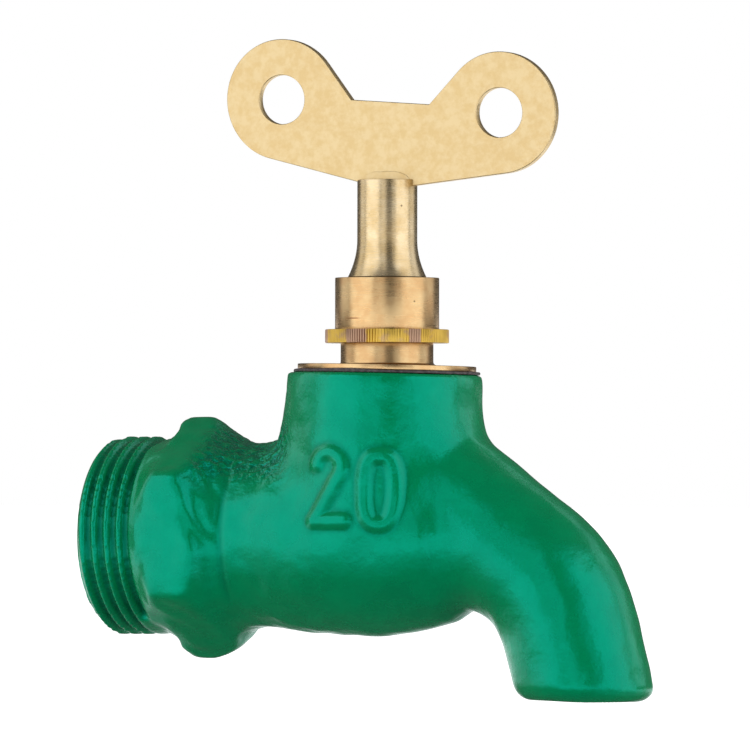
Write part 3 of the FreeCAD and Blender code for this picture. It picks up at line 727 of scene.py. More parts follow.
@dataclass
class Casting:
    """The enamelled casting: threaded inlet, hexagon, barrel, neck and spout, with lumps and numerals."""
    thread_end_x: float = 8.3
    hexagon_start_x: float = 8.7
    hexagon_end_x: float = 18.3
    barrel_end_x: float = 24.5
    bore_radius: float = 9.0
    neck_top_z: float = 21.4
    mouth_z: float = -21.4
    mouth_bore: float = 6.6
    mouth_corner: Pair = (1.2, 2.3)
    voxel: float = 0.45
    kept_share: float = 0.5
    rim_depth: float = 0.35
    shoulder_setback: float = 0.3
    near_shoulder_radii: Edges = (13.3, 14.7, 14.8, 16.2)
    hexagon_lean: float = 0.07
    far_shoulder_x: Edges = (13.0, 16.0, 20.0, 24.0)
    corner_rounds: int = 9
    fill_rounds: int = 120
    swell_height: float = 0.16
    swell_size: float = 6.0
    lump_height: float = 0.11
    lump_size: float = 2.4
    lumpiest_x: float = 22.0
    least_lumpy_x: float = 40.0
    sand_height: float = 0.16
    sand_size: float = 0.95
    sandy_x: Edges = (14.0, 18.0, 27.0, 31.0)
    sandy_z: Edges = (6.0, 9.5, 13.0, 17.0)
    crinkle_height: float = 0.4
    crinkle_size: float = 1.5
    crinkle_lean: float = 0.5
    crinkle_squash: float = 0.45
    crinkled_x: Edges = (15.0, 17.0, 19.0, 21.5)
    crinkled_z: Edges = (-3.0, 1.0, 9.0, 13.0)
    crease_x: float = 20.8
    crease_z: Edges = (-10.0, -7.0, 7.0, 10.0)
    crease_depth: float = 0.28
    crease_half_width: float = 0.9
    # Painted shade: how dark the thread's roots, the numerals' feet and the crease are made.
    root_shade: float = 0.8
    numeral_shade: float = 0.3
    crease_shade: float = 0.4
    numeral_height: float = 0.55
    numeral_half_width: float = 1.45
    numeral_crest: float = 0.25
    root_radii: Pair = (12.4, 12.85)
    numeral_size: Pair = (5.9, 10.9)
    numeral_foot: Pair = (33.9, 1.1)
    numeral_gap: float = 1.1
    nought_drop: float = 0.5
    nought_squareness: float = 2.7
    nudges: tuple[Nudge, ...] = (
        Nudge((53.5, -10.5), 5.0, (0.1, 0.4)), Nudge((77.0, -20.5), 5.0, (-0.3, 0.0)),
        Nudge((62.0, -21.4), 9.0, (0.0, 0.2)), Nudge((25.5, 15.5), 6.0, (-0.4, 0.3)),
        Nudge((13.5, -15.6), 4.0, (0.0, -0.4)), Nudge((33.0, -13.0), 7.0, (0.0, 0.25)),
        Nudge((10.6, 15.0), 3.5, (-0.3, 0.1)), Nudge((8.9, 13.4), 2.6, (0.9, -0.3)),
        Nudge((8.9, -13.6), 2.6, (0.7, 0.3)))

    def build(self) -> None:
        """Make the casting as one skin: thread cut sharp, corners flowed, numerals and sand raised."""
        piece = copy_of_node("tap_body", "casting")
        apply_modifier(piece, "REMESH", mode="VOXEL", voxel_size=self.voxel * MM)
        self.sharpen_thread(piece)
        self.flow(piece)
        self.round_mouth(piece)
        self.stray(piece)
        self.lean_neck(piece)
        self.divide(piece, self.numeral_zone, 2)
        self.divide(piece, self.sandy_zone, 1)
        self.raise_numerals(piece)
        self.roughen(piece)
        apply_modifier(piece, "DECIMATE", ratio=self.kept_share)
        take(piece)
        bpy.ops.object.shade_smooth()
        dress(piece, ENAMEL.build(), Body.TAP, ("tap_body",))

    def divide(self, piece: bpy.types.Object, zone: Callable[[np.ndarray], np.ndarray], cuts: int) -> None:
        """Divide the faces that lie in a zone more finely, and smooth what that leaves.

        Args:
            piece: The casting.
            zone: Says which points lie in the zone.
            cuts: New points on each edge.
        """
        chosen = zone(Surface(piece).points)
        faces = [all(chosen[number] for number in face.vertices) for face in piece.data.polygons]
        take(piece)
        bpy.ops.object.mode_set(mode="EDIT")
        bpy.ops.mesh.select_all(action="DESELECT")
        bpy.ops.object.mode_set(mode="OBJECT")
        piece.data.polygons.foreach_set("select", faces)
        bpy.ops.object.mode_set(mode="EDIT")
        bpy.ops.mesh.subdivide(number_cuts=cuts)
        bpy.ops.object.mode_set(mode="OBJECT")
        surface = Surface(piece)
        surface.smooth(0.6 * zone(surface.points), 4 * cuts)

    def thread_zone(self, points: np.ndarray) -> np.ndarray:
        """Which points lie on the thread or at the inlet's rim."""
        x, y, z = points.T
        return (x < self.thread_end_x + 0.9) & ((np.hypot(y, z) > self.bore_radius + 0.4) | (x < 1.2))

    def numeral_zone(self, points: np.ndarray) -> np.ndarray:
        """Which points lie on the front where the numerals stand.

        Args:
            points: The casting's points, in millimetres.

        Returns:
            True for each point in the zone.
        """
        x, y, z = points.T
        width, height = self.numeral_size
        left, foot = self.numeral_foot
        right = left + width * 2 + self.numeral_gap
        return (x > left - 1) & (x < right + 1) & (z > foot - 1.7) & (z < foot + height + 1.2) & (y < -9.6)

    def sandy(self, points: np.ndarray) -> np.ndarray:
        """How sandy each point is, from 0 to 1: most on the barrel's top, behind the hexagon."""
        x, y, z = points.T
        return band(self.sandy_x, x) * band(self.sandy_z, z) * (np.hypot(y, z) > self.bore_radius + 1.0)

    def sandy_zone(self, points: np.ndarray) -> np.ndarray:
        """Which points are sandy enough to need a finer mesh."""
        return self.sandy(points) > 0.1

    def creased(self, points: np.ndarray, half_width: float) -> np.ndarray:
        """How deep each point lies in the crease between the hexagon's shoulder and the barrel.

        Args:
            points: The casting's points, in millimetres.
            half_width: How far the crease reaches to each side.

        Returns:
            One share for each point, from 0 to 1.
        """
        x, y, z = points.T
        return ramp(half_width, 0, np.abs(x - self.crease_x)) * band(self.crease_z, z) * (y < 0)

    def sharpen_thread(self, piece: bpy.types.Object) -> None:
        """Give the thread a finer mesh, laid back onto the CAD thread and softened as thick enamel does.

        Args:
            piece: The casting.
        """
        self.divide(piece, self.thread_zone, 2)
        points = Surface(piece).points
        group = piece.vertex_groups.new(name="thread")
        chosen = self.thread_zone(points) & (points[:, 0] < self.thread_end_x + 0.4)
        group.add(np.flatnonzero(chosen).tolist(), 1.0, "REPLACE")
        apply_modifier(piece, "SHRINKWRAP", target=frame["nodes"]["tap_body"], vertex_group=group.name)
        piece.vertex_groups.clear()
        surface = Surface(piece)
        surface.smooth(0.5 * ramp(self.hexagon_start_x + 1, self.thread_end_x, surface.points[:, 0]), 11)

    def outside(self, surface: Surface) -> np.ndarray:
        """How much each point belongs to the outside rather than to the waterway.

        Args:
            surface: The casting's points.

        Returns:
            One share for each point, from 0 to 1.
        """
        x, y, z = surface.points.T
        free = ((x > self.rim_depth) & (z < self.neck_top_z - self.rim_depth)
                & (z > self.mouth_z + self.rim_depth))
        share = surface.spread(int(np.argmin(np.where(free, y, 0))), free).astype(float)
        for _ in range(4):
            share = surface.neighbour_mean(share)
        return share

    def flow(self, piece: bpy.types.Object) -> None:
        """Round the cast corners and fill the hollows between hexagon, barrel, neck and spout.

        Args:
            piece: The casting.
        """
        surface = Surface(piece)
        self.shape_hexagon(surface)
        x, _, z = surface.points.T
        start = self.hexagon_start_x
        loose = self.outside(surface) * ramp(self.neck_top_z - 0.5, self.neck_top_z - 3.5, z)
        surface.smooth(0.5 * loose * ramp(self.thread_end_x, start + 0.6, x), 6)
        radius = np.hypot(surface.points[:, 1], z)
        low = ramp(14.9, 14.2, radius)
        foot = ramp(self.thread_end_x - 0.4, start, x) * ramp(start + 4, start + 3, x)
        surface.smooth(0.6 * loose * low * foot, 30)
        corners = ramp(start + 0.8, start + 2.4, x) * ramp(self.barrel_end_x, self.hexagon_end_x, x)
        surface.smooth(0.6 * loose * corners, self.corner_rounds)
        surface.smooth(0.9 * loose * ramp(start + 2, start + 5, x), self.fill_rounds, fill_only=True)
        surface.smooth(0.5 * ramp(self.thread_end_x, start + 1, surface.points[:, 0]), 2)

    def shape_hexagon(self, surface: Surface) -> None:
        """Steepen the hexagon's inlet shoulder, and lean its far shoulder as the casting's is.

        Args:
            surface: The casting's points.
        """
        x, y, z = surface.points.T
        radius = np.hypot(y, z)
        near = band(self.near_shoulder_radii, radius) * ramp(13.5, 11.5, x) * (x > self.thread_end_x)
        far = band(self.far_shoulder_x, x) * ramp(12.4, 14.0, radius)
        surface.points[:, 0] += self.shoulder_setback * near - self.hexagon_lean * z * far
        surface.write()

    def stray(self, piece: bpy.types.Object) -> None:
        """Shift the skin where the casting strays from its drawing.

        Args:
            piece: The casting.
        """
        surface = Surface(piece)
        for nudge in self.nudges:
            nudge.apply(surface)
        surface.write()

    def lean_neck(self, piece: bpy.types.Object) -> None:
        """Let the neck's top face lean as the gasket and disc on it do.

        Args:
            piece: The casting.
        """
        surface = Surface(piece)
        x, y, z = surface.points.T
        bearing = math.radians(Headwork.lean_bearing)
        along = (x - VALVE_AXIS_X) * math.cos(bearing) + y * math.sin(bearing)
        surface.points[:, 2] -= Headwork.lean * along * ramp(self.neck_top_z - 6, self.neck_top_z - 1, z)
        surface.write()

    def round_mouth(self, piece: bpy.types.Object) -> None:
        """Draw the spout's outer edge in towards its bore, on a quarter of an oval.

        Args:
            piece: The casting.
        """
        surface = Surface(piece)
        x, y, z = surface.points.T
        width, height = self.mouth_corner
        low = z < self.mouth_z + height
        middle = (x[low].min() + x[low].max()) / 2
        reach = np.hypot(x - middle, y).clip(1e-6)
        wall = reach[z < self.mouth_z + 0.2].max() - self.mouth_bore
        depth = np.clip((self.mouth_z + height - z) / height, 0, 1)
        outward = np.maximum(reach - self.mouth_bore - 0.1, 0) / wall
        drawn = width * (1 - np.sqrt(1 - depth ** 2)) * outward * low
        surface.points[:, 0] -= drawn * (x - middle) / reach
        surface.points[:, 1] -= drawn * y / reach
        surface.write()

    def numerals(self) -> tuple[Numeral, Numeral]:
        """The plain size number 20: a two with a round head and a straight foot, and an oval nought.

        Returns:
            The two and the nought.
        """
        width, height = self.numeral_size
        left, foot = self.numeral_foot
        half = 1.0
        across, tall = width / 2 - half, height / 2 - half
        head = (left + half + across, foot + height - half - across)
        two = arc(head, (across, across), 168, -38) + ((left + half, foot + half),
                                                      (left + width - half * 0.6, foot + half))
        centre = (left + width + self.numeral_gap + width / 2, foot + height / 2 - self.nought_drop)
        nought = arc(centre, (across, tall), 0, 360, 48, self.nought_squareness)
        return Numeral((two,)), Numeral((nought,))

    def raise_numerals(self, piece: bpy.types.Object) -> None:
        """Raise the numerals out of the front as soft cast beads.

        Args:
            piece: The casting.
        """
        surface = Surface(piece)
        chosen = self.numeral_zone(surface.points)
        x, _, z = surface.points[chosen].T
        nearest = np.minimum(*(numeral.distance(x, z) for numeral in self.numerals()))
        heights = np.zeros(surface.count)
        heights[chosen] = self.numeral_height * ramp(self.numeral_half_width, self.numeral_crest, nearest)
        surface.raise_by(heights)

    def roughen(self, piece: bpy.types.Object) -> None:
        """Add a sand casting's swells, lumps and grains, and the crinkles and crease behind the hexagon.

        Args:
            piece: The casting.
        """
        surface = Surface(piece)
        points = surface.points
        x, y, z = points.T
        crinkled = band(self.crinkled_x, x) * band(self.crinkled_z, z) * (y < 0)
        leaning = np.column_stack([x + self.crinkle_lean * z, y, self.crinkle_squash * z])
        lumpy = 0.6 + 0.8 * ramp(self.least_lumpy_x, self.lumpiest_x, x)
        heights = (-self.crease_depth * self.creased(points, self.crease_half_width)
                   + self.swell_height * lumps(points, self.swell_size, 3.1)
                   + self.lump_height * lumpy * lumps(points, self.lump_size, 7.3)
                   + self.sand_height * self.sandy(points) * lumps(points, self.sand_size, 1.9)
                   + self.crinkle_height * crinkled * lumps(leaning, self.crinkle_size, 4.4))
        outside = self.outside(surface)
        surface.raise_by(heights * outside * ramp(self.thread_end_x, self.hexagon_start_x + 1, x))
        # The sand attribute drives the shader's grain bumps and its painted shade in the pits; the other
        # attribute marks painted shade in the thread's roots, round the numerals and in the crease.
        sand = self.sandy(surface.points) * outside
        piece.data.attributes.new("sand", "FLOAT", "POINT").data.foreach_set("value", sand)
        piece.data.attributes.new("hollow_shade", "FLOAT", "POINT").data.foreach_set("value", self.hollow_shade(surface))

    def hollow_shade(self, surface: Surface) -> np.ndarray:
        """How much shade is painted in: in the thread's roots, round the numerals and in the crease.

        Args:
            surface: The casting's points.

        Returns:
            One share for each point, from 0 to 1.
        """
        x, y, z = surface.points.T
        radius = np.hypot(y, z)
        low, high = self.root_radii
        threaded = band((0.2, 0.8, self.thread_end_x - 0.2, self.thread_end_x + 0.6), x)
        share = self.root_shade * ramp(high, low, radius) * threaded * (radius > self.bore_radius + 1.5)
        chosen = self.numeral_zone(surface.points)
        nearest = np.minimum(*(numeral.distance(x[chosen], z[chosen]) for numeral in self.numerals()))
        edge = self.numeral_half_width
        share[chosen] = self.numeral_shade * band((edge - 0.6, edge - 0.15, edge, edge + 0.35), nearest)
        crease = self.creased(surface.points, self.crease_half_width * 0.7)
        return np.maximum(share, self.crease_shade * crease * (radius > self.bore_radius + 1.5))


@dataclass
class Headwork:
    """The brass above the neck: gasket, bonnet disc and boss, knurled ring and plain sleeve."""
    corner: float = 0.12
    gasket_bulge: float = 0.08
    gasket_bore: float = 10.1
    gasket_corner: float = 0.15
    gasket_waves: tuple[tuple[float, int, float], ...] = ((0.06, 3, 0.7), (0.04, 7, 0.0))
    gasket_wave_radius: float = 11.9
    screw_radius: float = 10.0
    boss_radius: float = 6.1
    boss_foot: float = 0.45
    boss_foot_gap: float = 0.4
    bonnet_bore: float = 5.2
    flange_thickness: float = 0.7
    flange_shyness: float = 0.25
    ring_height: float = 1.8
    ring_bore: float = 6.2
    knurl_depth: float = 0.17
    knurl_count: int = 144
    stained_arcs: tuple[Pair, ...] = ((-106, -87), (-44, -34), (20, 52), (95, 112), (150, 190), (204, 219))
    stain_width: float = 1.0
    clean_level: float = -0.5
    lean: float = 0.018
    lean_bearing: float = 23.96
    sleeve_radius: float = 6.85
    sleeve_overlap: float = 0.3
    sleeve_tuck: float = 0.1
    well_radius: float = 5.3
    gland_radius: float = 4.9
    stem_bore: float = 3.2
    well_floor: float = 0.3

    def build(self) -> None:
        """Turn each piece and dress it."""
        turned, knurled, rubber = TURNED_BRASS.build(), KNURLED_BRASS.build(), GASKET_RUBBER.build()
        dress(self.gasket(), rubber, Body.TAP, ("bonnet_gasket",))
        dress(self.bonnet(), turned, Body.TAP, ("bonnet",))
        dress(self.knurled_ring(), knurled, Body.TAP, ("lock_collar",))
        dress(self.sleeve(), turned, Body.TAP, ("lock_collar",))

    def gasket(self) -> bpy.types.Object:
        """The pinched rubber gasket, which bulges a little past the disc and is wavy round its rim.

        Returns:
            The gasket.
        """
        low, high = mm_box("bonnet_gasket")
        radius = (high.x - low.x) / 2
        bulge = radius + self.gasket_bulge
        profile = rounded([(self.gasket_bore, low.z), (bulge, low.z), (bulge, high.z),
                           (self.gasket_bore, high.z)], self.gasket_corner)
        piece = Turning("gasket_ring", profile).build()
        surface = Surface(piece)
        self.lean_down(surface, 0.0)
        x, y, z = surface.points.T
        angle = np.arctan2(y, x - VALVE_AXIS_X)
        wave = sum(height * np.sin(count * angle + start) for height, count, start in self.gasket_waves)
        rim = np.hypot(x - VALVE_AXIS_X, y) > self.gasket_wave_radius
        surface.points[:, 2] += wave * (z > (low.z + high.z) / 2) * rim
        surface.write()
        return piece

    def bonnet(self) -> bpy.types.Object:
        """The bonnet: screwed part in the neck, thin disc, and boss with a small foot radius.

        Returns:
            The bonnet.
        """
        low, high = mm_box("bonnet")
        flange = (high.x - low.x) / 2 - self.flange_shyness
        seat = mm_box("bonnet_gasket")[1].z
        top = seat + self.flange_thickness
        turns = [math.radians(15 * step) for step in range(7)]
        foot = [(self.boss_radius + self.boss_foot * (1 - math.sin(turn)),
                 top + self.boss_foot * (1 - math.cos(turn))) for turn in turns]
        clear = self.boss_foot + self.boss_foot_gap
        corners = rounded([(self.bonnet_bore, low.z), (self.screw_radius, low.z), (self.screw_radius, seat),
                           (flange, seat), (flange, top), (self.boss_radius + clear, top)],
                          self.corner, closed=False)
        rim = rounded([(self.boss_radius, top + clear), (self.boss_radius, high.z),
                       (self.bonnet_bore, high.z)], self.corner, closed=False)
        piece = Turning("bonnet_turned", corners[:-1] + foot + rim[1:]).build()
        surface = Surface(piece)
        self.lean_down(surface, self.boss_radius + self.boss_foot)
        surface.write()
        return piece

    def lean_down(self, surface: Surface, inner: float) -> None:
        """Let the disc or gasket sit a little aslant, as the rough neck's machined top does.

        Args:
            surface: The piece's points.
            inner: The radius inside which nothing moves.
        """
        x, y, _ = surface.points.T
        bearing = math.radians(self.lean_bearing)
        along = (x - VALVE_AXIS_X) * math.cos(bearing) + y * math.sin(bearing)
        surface.points[:, 2] -= self.lean * along * ramp(inner, inner + 1.5, np.hypot(x - VALVE_AXIS_X, y))

    def knurled_ring(self) -> bpy.types.Object:
        """The thin ring that fingers or pliers turn, its rim notched all round, unevenly deep.

        Returns:
            The ring.
        """
        low, high = mm_box("lock_collar")
        radius = (high.x - low.x) / 2
        foot = mm_box("bonnet")[1].z
        profile = rounded([(self.ring_bore, foot), (radius, foot), (radius, foot + self.ring_height),
                           (self.ring_bore, foot + self.ring_height)], self.corner, 2)
        piece = Turning("knurled_ring", profile, segments=self.knurl_count * 3).build()
        surface = Surface(piece)
        x, y, _ = surface.points.T
        reach = np.hypot(x - VALVE_AXIS_X, y)
        angle = np.arctan2(y, x - VALVE_AXIS_X)
        place = np.round(angle / math.tau * self.knurl_count * 3).astype(int)
        tool_wear = 0.55 + 0.45 * np.sin(5 * angle + 0.4) * np.sin(2 * angle + 1.1)
        notched = (place % 3 == 0) & (reach > radius - 0.3)
        notch = np.where(notched, self.knurl_depth * tool_wear, 0)
        surface.points[:, 0] -= notch * np.cos(angle)
        surface.points[:, 1] -= notch * np.sin(angle)
        surface.write()
        take(piece)
        bpy.ops.object.shade_smooth_by_angle(angle=math.radians(20))
        bearing = np.degrees(angle)
        stain = np.zeros(surface.count)
        for start, end in self.stained_arcs:
            for turn in (-360, 0, 360):
                stain = np.maximum(stain, ramp(start + turn - 3, start + turn + 1, bearing)
                                   * ramp(end + turn + 3, end + turn - 1, bearing))
        stain *= ramp(radius - self.stain_width, radius - self.corner, reach)
        levels = stain * (1 - self.clean_level) + self.clean_level
        piece.data.attributes.new("stain", "FLOAT", "POINT").data.foreach_set("value", levels)
        return piece

    def sleeve(self) -> bpy.types.Object:
        """The plain sleeve with its well for the key, and the gland below it.

        Returns:
            The sleeve.
        """
        low, high = mm_box("lock_collar")
        foot = mm_box("bonnet")[1].z
        ring_top = foot + self.ring_height
        floor = ring_top + self.well_floor
        inner = self.ring_bore + self.sleeve_overlap
        low_step, high_step = foot + self.sleeve_tuck, ring_top - self.sleeve_tuck
        profile = rounded([(self.stem_bore, low.z), (self.gland_radius, low.z), (self.gland_radius, low_step),
                           (inner, low_step), (inner, high_step), (self.sleeve_radius, high_step),
                           (self.sleeve_radius, high.z), (self.well_radius, high.z),
                           (self.well_radius, floor), (self.stem_bore, floor)], self.corner)
        return Turning("collar_sleeve", profile).build()


@dataclass
class Key:
    """The lift-off key: tube with flared foot and square socket, butterfly plate, and their brazing."""
    spigot_radius: float = 5.0
    tube_radius: float = 3.95
    flare_radius: float = 5.15
    flare_height: float = 5.0
    flare_gap: float = 0.12
    foot_play: float = 0.2
    socket_chamfer: float = 0.15
    edge: float = 0.1
    socket_half: float = 2.2
    socket_top_z: float = 33.4
    cap_radius: float = 0.3
    plate_edge: float = 0.13
    braze_height: float = 1.1
    braze_relief: float = 0.07
    braze_inset: float = 0.35
    braze_sunk: float = 0.3
    braze_foot: float = 0.05
    braze_lump_height: float = 0.12
    braze_lump_size: float = 1.3
    plate_lean: float = 0.019

    def build(self) -> None:
        """Make the tube, the plate and the brazing."""
        drawn, sheet = DRAWN_BRASS.build(), SHEET_BRASS.build()
        dress(self.tube(), drawn, Body.KEY, ("key_barrel",))
        dress(self.plate(), sheet, Body.KEY, ("key_wings",))
        dress(self.braze(), sheet, Body.KEY)

    def tube(self) -> bpy.types.Object:
        """The tube, its foot flared to the sleeve's well, with a square socket up its middle.

        Returns:
            The tube.
        """
        low, high = mm_box("key_barrel")
        collar_top = mm_box("lock_collar")[1].z
        flare = []
        for step in range(13):
            share = step / 12
            waist = 1 - (1 - share) ** 2
            flare.append((self.flare_radius + (self.tube_radius - self.flare_radius) * waist,
                          collar_top + self.flare_gap + (self.flare_height - self.flare_gap) * share))
        foot_radius = self.spigot_radius - self.foot_play
        profile = ([(self.cap_radius, self.socket_top_z), (self.socket_half, self.socket_top_z),
                    (self.socket_half, low.z + self.socket_chamfer),
                    (self.socket_half + self.socket_chamfer, low.z),
                    (foot_radius - self.socket_chamfer, low.z), (foot_radius, low.z + self.foot_play),
                    (foot_radius, collar_top - 0.1), (self.spigot_radius, collar_top + 0.02)]
                   + flare
                   + rounded([(self.tube_radius, collar_top + self.flare_height + 0.3),
                              (self.tube_radius, high.z), (self.cap_radius, high.z)],
                             self.edge, closed=False))
        piece = Turning("key_tube", profile, closed=False).build()
        surface = Surface(piece)
        x, y, z = surface.points.T
        reach = np.hypot(x - VALVE_AXIS_X, y)
        inner = ((reach < self.socket_half + self.socket_chamfer * 2) & (reach > self.cap_radius + 0.1)
                 & (z < self.socket_top_z + 0.1))
        square = 1 / np.maximum(np.abs(x - VALVE_AXIS_X), np.abs(y)).clip(1e-6)
        grow = np.where(inner, reach * square, 1.0)
        surface.points[:, 0] = VALVE_AXIS_X + (x - VALVE_AXIS_X) * grow
        surface.points[:, 1] = y * grow
        surface.write()
        return piece

    def plate(self) -> bpy.types.Object:
        """The butterfly plate with its two eyes, its pressed edges softly broken.

        Returns:
            The plate.
        """
        piece = copy_of_node("key_wings", "key_plate")
        bpy.ops.object.mode_set(mode="EDIT")
        bpy.ops.mesh.select_all(action="SELECT")
        bpy.ops.mesh.dissolve_limited(angle_limit=math.radians(1))
        bpy.ops.object.mode_set(mode="OBJECT")
        apply_modifier(piece, "BEVEL", width=self.plate_edge * MM, segments=3, limit_method="ANGLE",
                       angle_limit=math.radians(40))
        surface = Surface(piece)
        surface.points[:, 2] -= self.plate_lean * (surface.points[:, 0] - VALVE_AXIS_X)
        surface.write()
        take(piece)
        bpy.ops.object.shade_smooth()
        apply_modifier(piece, "WEIGHTED_NORMAL", mode="FACE_AREA", weight=100)
        return piece

    def braze(self) -> bpy.types.Object:
        """The low arch of brazing that holds the plate in the tube's top.

        Returns:
            The brazing.
        """
        top = mm_box("key_barrel")[1].z
        sunk, foot, edge = top - self.braze_sunk, top + self.braze_foot, self.tube_radius - self.braze_inset
        profile = [(self.cap_radius, sunk), (edge, sunk), (edge, foot)]
        for step in range(1, 9):
            turn = math.radians(10 * step)
            profile.append(((edge - 0.15) * math.cos(turn), foot + self.braze_height * math.sin(turn)))
        profile.append((self.cap_radius, foot + self.braze_height))
        piece = Turning("braze_arch", profile, closed=False).build()
        surface = Surface(piece)
        _, y, z = surface.points.T
        reach = mm_box("key_wings")[1].y + self.braze_relief
        surface.points[:, 1] = np.clip(y, -reach, reach)
        uneven = lumps(surface.points, self.braze_lump_size, 5.5) * (z > foot + 0.05)
        surface.points[:, 2] += self.braze_lump_height * uneven
        surface.write()
        take(piece)
        bpy.ops.object.shade_smooth()
        return piece


@dataclass
class Studio:
    """The photograph's view and light: two tall softboxes, a dark gap between them, and white all round."""
    azimuth: float = 23.96
    elevation: float = -0.7
    roll: float = 0.11
    distance: float = 1200.0
    pixels_per_mm: float = 7.604
    axis_u: float = 387.0
    axis_v: float = 536.3
    frame_pixels: float = 750.0
    floor_z: float = -46.0
    ambient: float = 0.46
    box_bearing: float = 61.0
    box_rise: float = 12.0
    box_radiances: Pair = (1.45, 1.4)
    fill_bearing: float = 105.0
    low_flag_bearing: float = 113.0
    low_flag_z: float = -40.0
    lower_cards: tuple[Pair, ...] = ((0.1, 0.08), (0.16, 0.35), (0.26, 0.8))
    lower_card_depth: float = 0.05
    lower_card_gap: float = 0.002

    def directions(self) -> tuple[Vector, Vector, Vector]:
        """The directions of the picture.

        Returns:
            Unit vectors to the right, up, and back from the object towards the camera.
        """
        azimuth = math.radians(self.azimuth)
        back = self.towards(0, self.elevation)
        right = Vector((math.cos(azimuth), math.sin(azimuth), 0))
        return right, back.cross(right), back

    def camera(self) -> None:
        """Place the camera so that the valve axis meets the barrel at the photograph's own pixel."""
        right, up, back = self.directions()
        half = self.frame_pixels / 2
        target = (Vector((VALVE_AXIS_X, 0, 0)) + right * ((half - self.axis_u) / self.pixels_per_mm)
                  + up * ((self.axis_v - half) / self.pixels_per_mm))
        data = bpy.data.cameras.new("camera")
        data.sensor_width = 36.0
        data.lens = data.sensor_width * self.distance / (self.frame_pixels / self.pixels_per_mm)
        data.clip_start, data.clip_end = 0.05, 50.0
        camera = bpy.data.objects.new("camera", data)
        bpy.context.scene.collection.objects.link(camera)
        camera.location = (target + back * self.distance) * MM
        turn = Matrix((right, up, back)).transposed().to_quaternion()
        camera.rotation_mode = "QUATERNION"
        camera.rotation_quaternion = turn @ Matrix.Rotation(math.radians(self.roll), 3, "Z").to_quaternion()
        bpy.context.scene.camera = camera

    def towards(self, bearing: float, height: float) -> Vector:
        """The direction from the tap at a bearing from the camera and a height, both in degrees."""
        turn, rise = math.radians(self.azimuth + bearing), math.radians(height)
        return Vector((math.sin(turn) * math.cos(rise), -math.cos(turn) * math.cos(rise), math.sin(rise)))

    def softbox(self, name: str, bearing: float, height: float, size: Pair, distance: float,
                radiance: float, mirrored: bool = True) -> None:
        """Add a large area lamp that faces the tap.

        Args:
            name: The lamp's name.
            bearing: Degrees round from the camera's bearing, positive to the camera's right.
            height: Degrees above the horizon.
            size: Width and height in metres.
            distance: Metres from the tap.
            radiance: How bright the lamp looks, where 1 is white.
            mirrored: Whether reflections show the lamp.
        """
        data = bpy.data.lights.new(name, "AREA")
        data.shape = "RECTANGLE"
        data.size, data.size_y = size
        data.energy = radiance * math.pi * size[0] * size[1]
        lamp = bpy.data.objects.new(name, data)
        lamp.visible_glossy = mirrored
        bpy.context.scene.collection.objects.link(lamp)
        back = self.towards(bearing, height)
        lamp.location = Vector((VALVE_AXIS_X * MM, 0, 0.02)) + back * distance
        lamp.rotation_mode = "QUATERNION"
        lamp.rotation_quaternion = back.to_track_quat("Z", "Y")

    def flag(self, name: str, bearing: float, height: float, size: Pair, distance: float,
             level: float, middle_z: float = 10.0) -> None:
        """Add a dark card that only reflections see, as a photographer sets round a bright object.

        Args:
            name: The card's name.
            bearing: Degrees round from the camera's bearing.
            height: Degrees above the horizon.
            size: Width and height in metres.
            distance: Metres from the tap.
            level: How bright the card is.
            middle_z: The height that the distance and the bearing are taken from.
        """
        back = self.towards(bearing, height)
        deselect()
        bpy.ops.mesh.primitive_plane_add(size=1)
        card = bpy.context.object
        card.name = name
        card.scale = (*size, 1)
        card.location = Vector((VALVE_AXIS_X, 0, middle_z)) * MM + back * distance
        card.rotation_mode = "QUATERNION"
        card.rotation_quaternion = back.to_track_quat("Z", "Y")
        card.visible_camera = False
        card.visible_diffuse = False
        card.visible_shadow = False
        material = bpy.data.materials.new(f"{name} cloth")
        material.use_nodes = True
        tree = material.node_tree
        cloth = add_node(tree, "Emission", inputs={"Color": grey(level), "Strength": 1.0})
        tree.links.new(cloth.outputs["Emission"], tree.nodes["Material Output"].inputs["Surface"])
        card.data.materials.append(material)

    def seen_directly(self, tree: bpy.types.NodeTree) -> bpy.types.NodeSocket:
        """1 where the camera, a reflection or a look through glass meets the surface, and 0 for plain light.

        Args:
            tree: The node tree that asks.

        Returns:
            The socket that says so.
        """
        seen = add_node(tree, "LightPath")
        either = add_node(tree, "Math", {"operation": "MAXIMUM"},
                          {0: seen.outputs["Is Camera Ray"], 1: seen.outputs["Is Glossy Ray"]})
        return add_node(tree, "Math", {"operation": "MAXIMUM"},
                        {0: either.outputs[0], 1: seen.outputs["Is Transmission Ray"]}).outputs[0]

    def floor(self) -> None:
        """Add a pale floor well below the tap, white where no shadow falls on it."""
        deselect()
        bpy.ops.mesh.primitive_plane_add(size=40, location=(0, 0, self.floor_z * MM))
        floor = bpy.context.object
        floor.name = "floor"
        material = bpy.data.materials.new("white paper floor")
        material.use_nodes = True
        tree = material.node_tree
        shader = tree.nodes["Principled BSDF"]
        shader.inputs["Base Color"].default_value = linear("#F2F2F2")
        shader.inputs["Roughness"].default_value = 0.9
        lift = add_node(tree, "Emission", inputs={"Color": grey(1.0), "Strength": 0.8})
        both = add_node(tree, "AddShader", inputs={0: shader.outputs["BSDF"], 1: lift.outputs["Emission"]})
        mixed = add_node(tree, "MixShader", inputs={0: self.seen_directly(tree), 1: shader.outputs["BSDF"],
                                                    2: both.outputs["Shader"]})
        tree.links.new(mixed.outputs["Shader"], tree.nodes["Material Output"].inputs["Surface"])
        floor.data.materials.append(material)

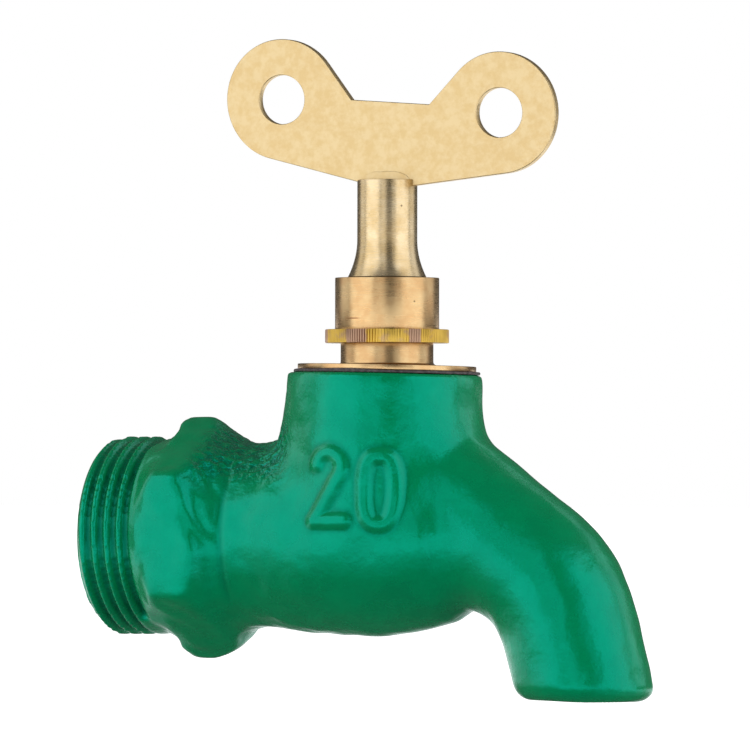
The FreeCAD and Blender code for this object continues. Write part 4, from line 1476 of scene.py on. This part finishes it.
    def surroundings(self) -> None:
        """Light the room softly, and show white where the camera or a reflection looks past the tap."""
        world = bpy.data.worlds.new("studio")
        bpy.context.scene.world = world
        world.use_nodes = True
        tree = world.node_tree
        level = add_node(tree, "MapRange", inputs={"Value": self.seen_directly(tree), "To Min": self.ambient,
                                                   "To Max": 1.0})
        tree.links.new(level.outputs["Result"], tree.nodes["Background"].inputs["Strength"])
        tree.nodes["Background"].inputs["Color"].default_value = grey(1.0)

    def build(self) -> None:
        """Set up the view and the light: a softbox each side, fills that don't mirror, and dark cards."""
        bpy.context.scene.view_settings.view_transform = "Standard"
        self.camera()
        for side, turn, radiance in zip(("left", "right"), (-1, 1), self.box_radiances):
            box_bearing = self.box_bearing * turn
            self.softbox(f"softbox_{side}", box_bearing, self.box_rise, (1.7, 2.0), 1.5, radiance)
            self.flag(f"backing_{side}", box_bearing, self.box_rise, (2.4, 2.8), 1.7, 0.1)
            self.softbox(f"fill_{side}", self.fill_bearing * turn, 0, (1.2, 1.6), 1.5, 1.0, mirrored=False)
            self.flag(f"low_flag_{side}", self.low_flag_bearing * turn, 0, (0.3, 0.12), 0.3, 0.1,
                      middle_z=self.low_flag_z)
        self.flag("camera_flag", 7, 0, (0.68, 3.0), 1.6, 0.05)
        self.flag("back_flag", 180, 0, (7.0, 5.0), 2.4, 0.1)
        self.flag("top_flag", 0, 90, (3.0, 3.0), 1.6, 0.12)
        for number, (size, level) in enumerate(self.lower_cards):
            depth = self.lower_card_depth + self.lower_card_gap * number
            self.flag(f"lower_flag_{number + 1}", 0, -90, (size, size), depth, level)
        self.floor()
        self.surroundings()


def dress_nodes() -> None:
    """Give each CAD node that stays on show its procedural material."""
    turned, sheet = TURNED_BRASS.build(), SHEET_BRASS.build()
    rubber, packing = GASKET_RUBBER.build(), PACKING.build()
    by_slot = {"turned_brass": turned, "sheet_brass": sheet, "gasket_rubber": rubber, "seat_rubber": rubber,
               "packing_cord": packing}
    for part in frame["record"]["subparts"]:
        material = by_slot.get(part["material_slot"])
        if material is not None:
            node = frame["nodes"][part["node"]]
            node.data.materials.clear()
            node.data.materials.append(material)
            log.info("%s: CAD node in %s", part["node"], material.name)


def main() -> None:
    """Set the studio up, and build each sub-assembly."""
    logging.basicConfig(level=logging.INFO, format="%(message)s")
    Studio().build()
    dress_nodes()
    Casting().build()
    Headwork().build()
    Key().build()


if __name__ == "__main__":
    main()
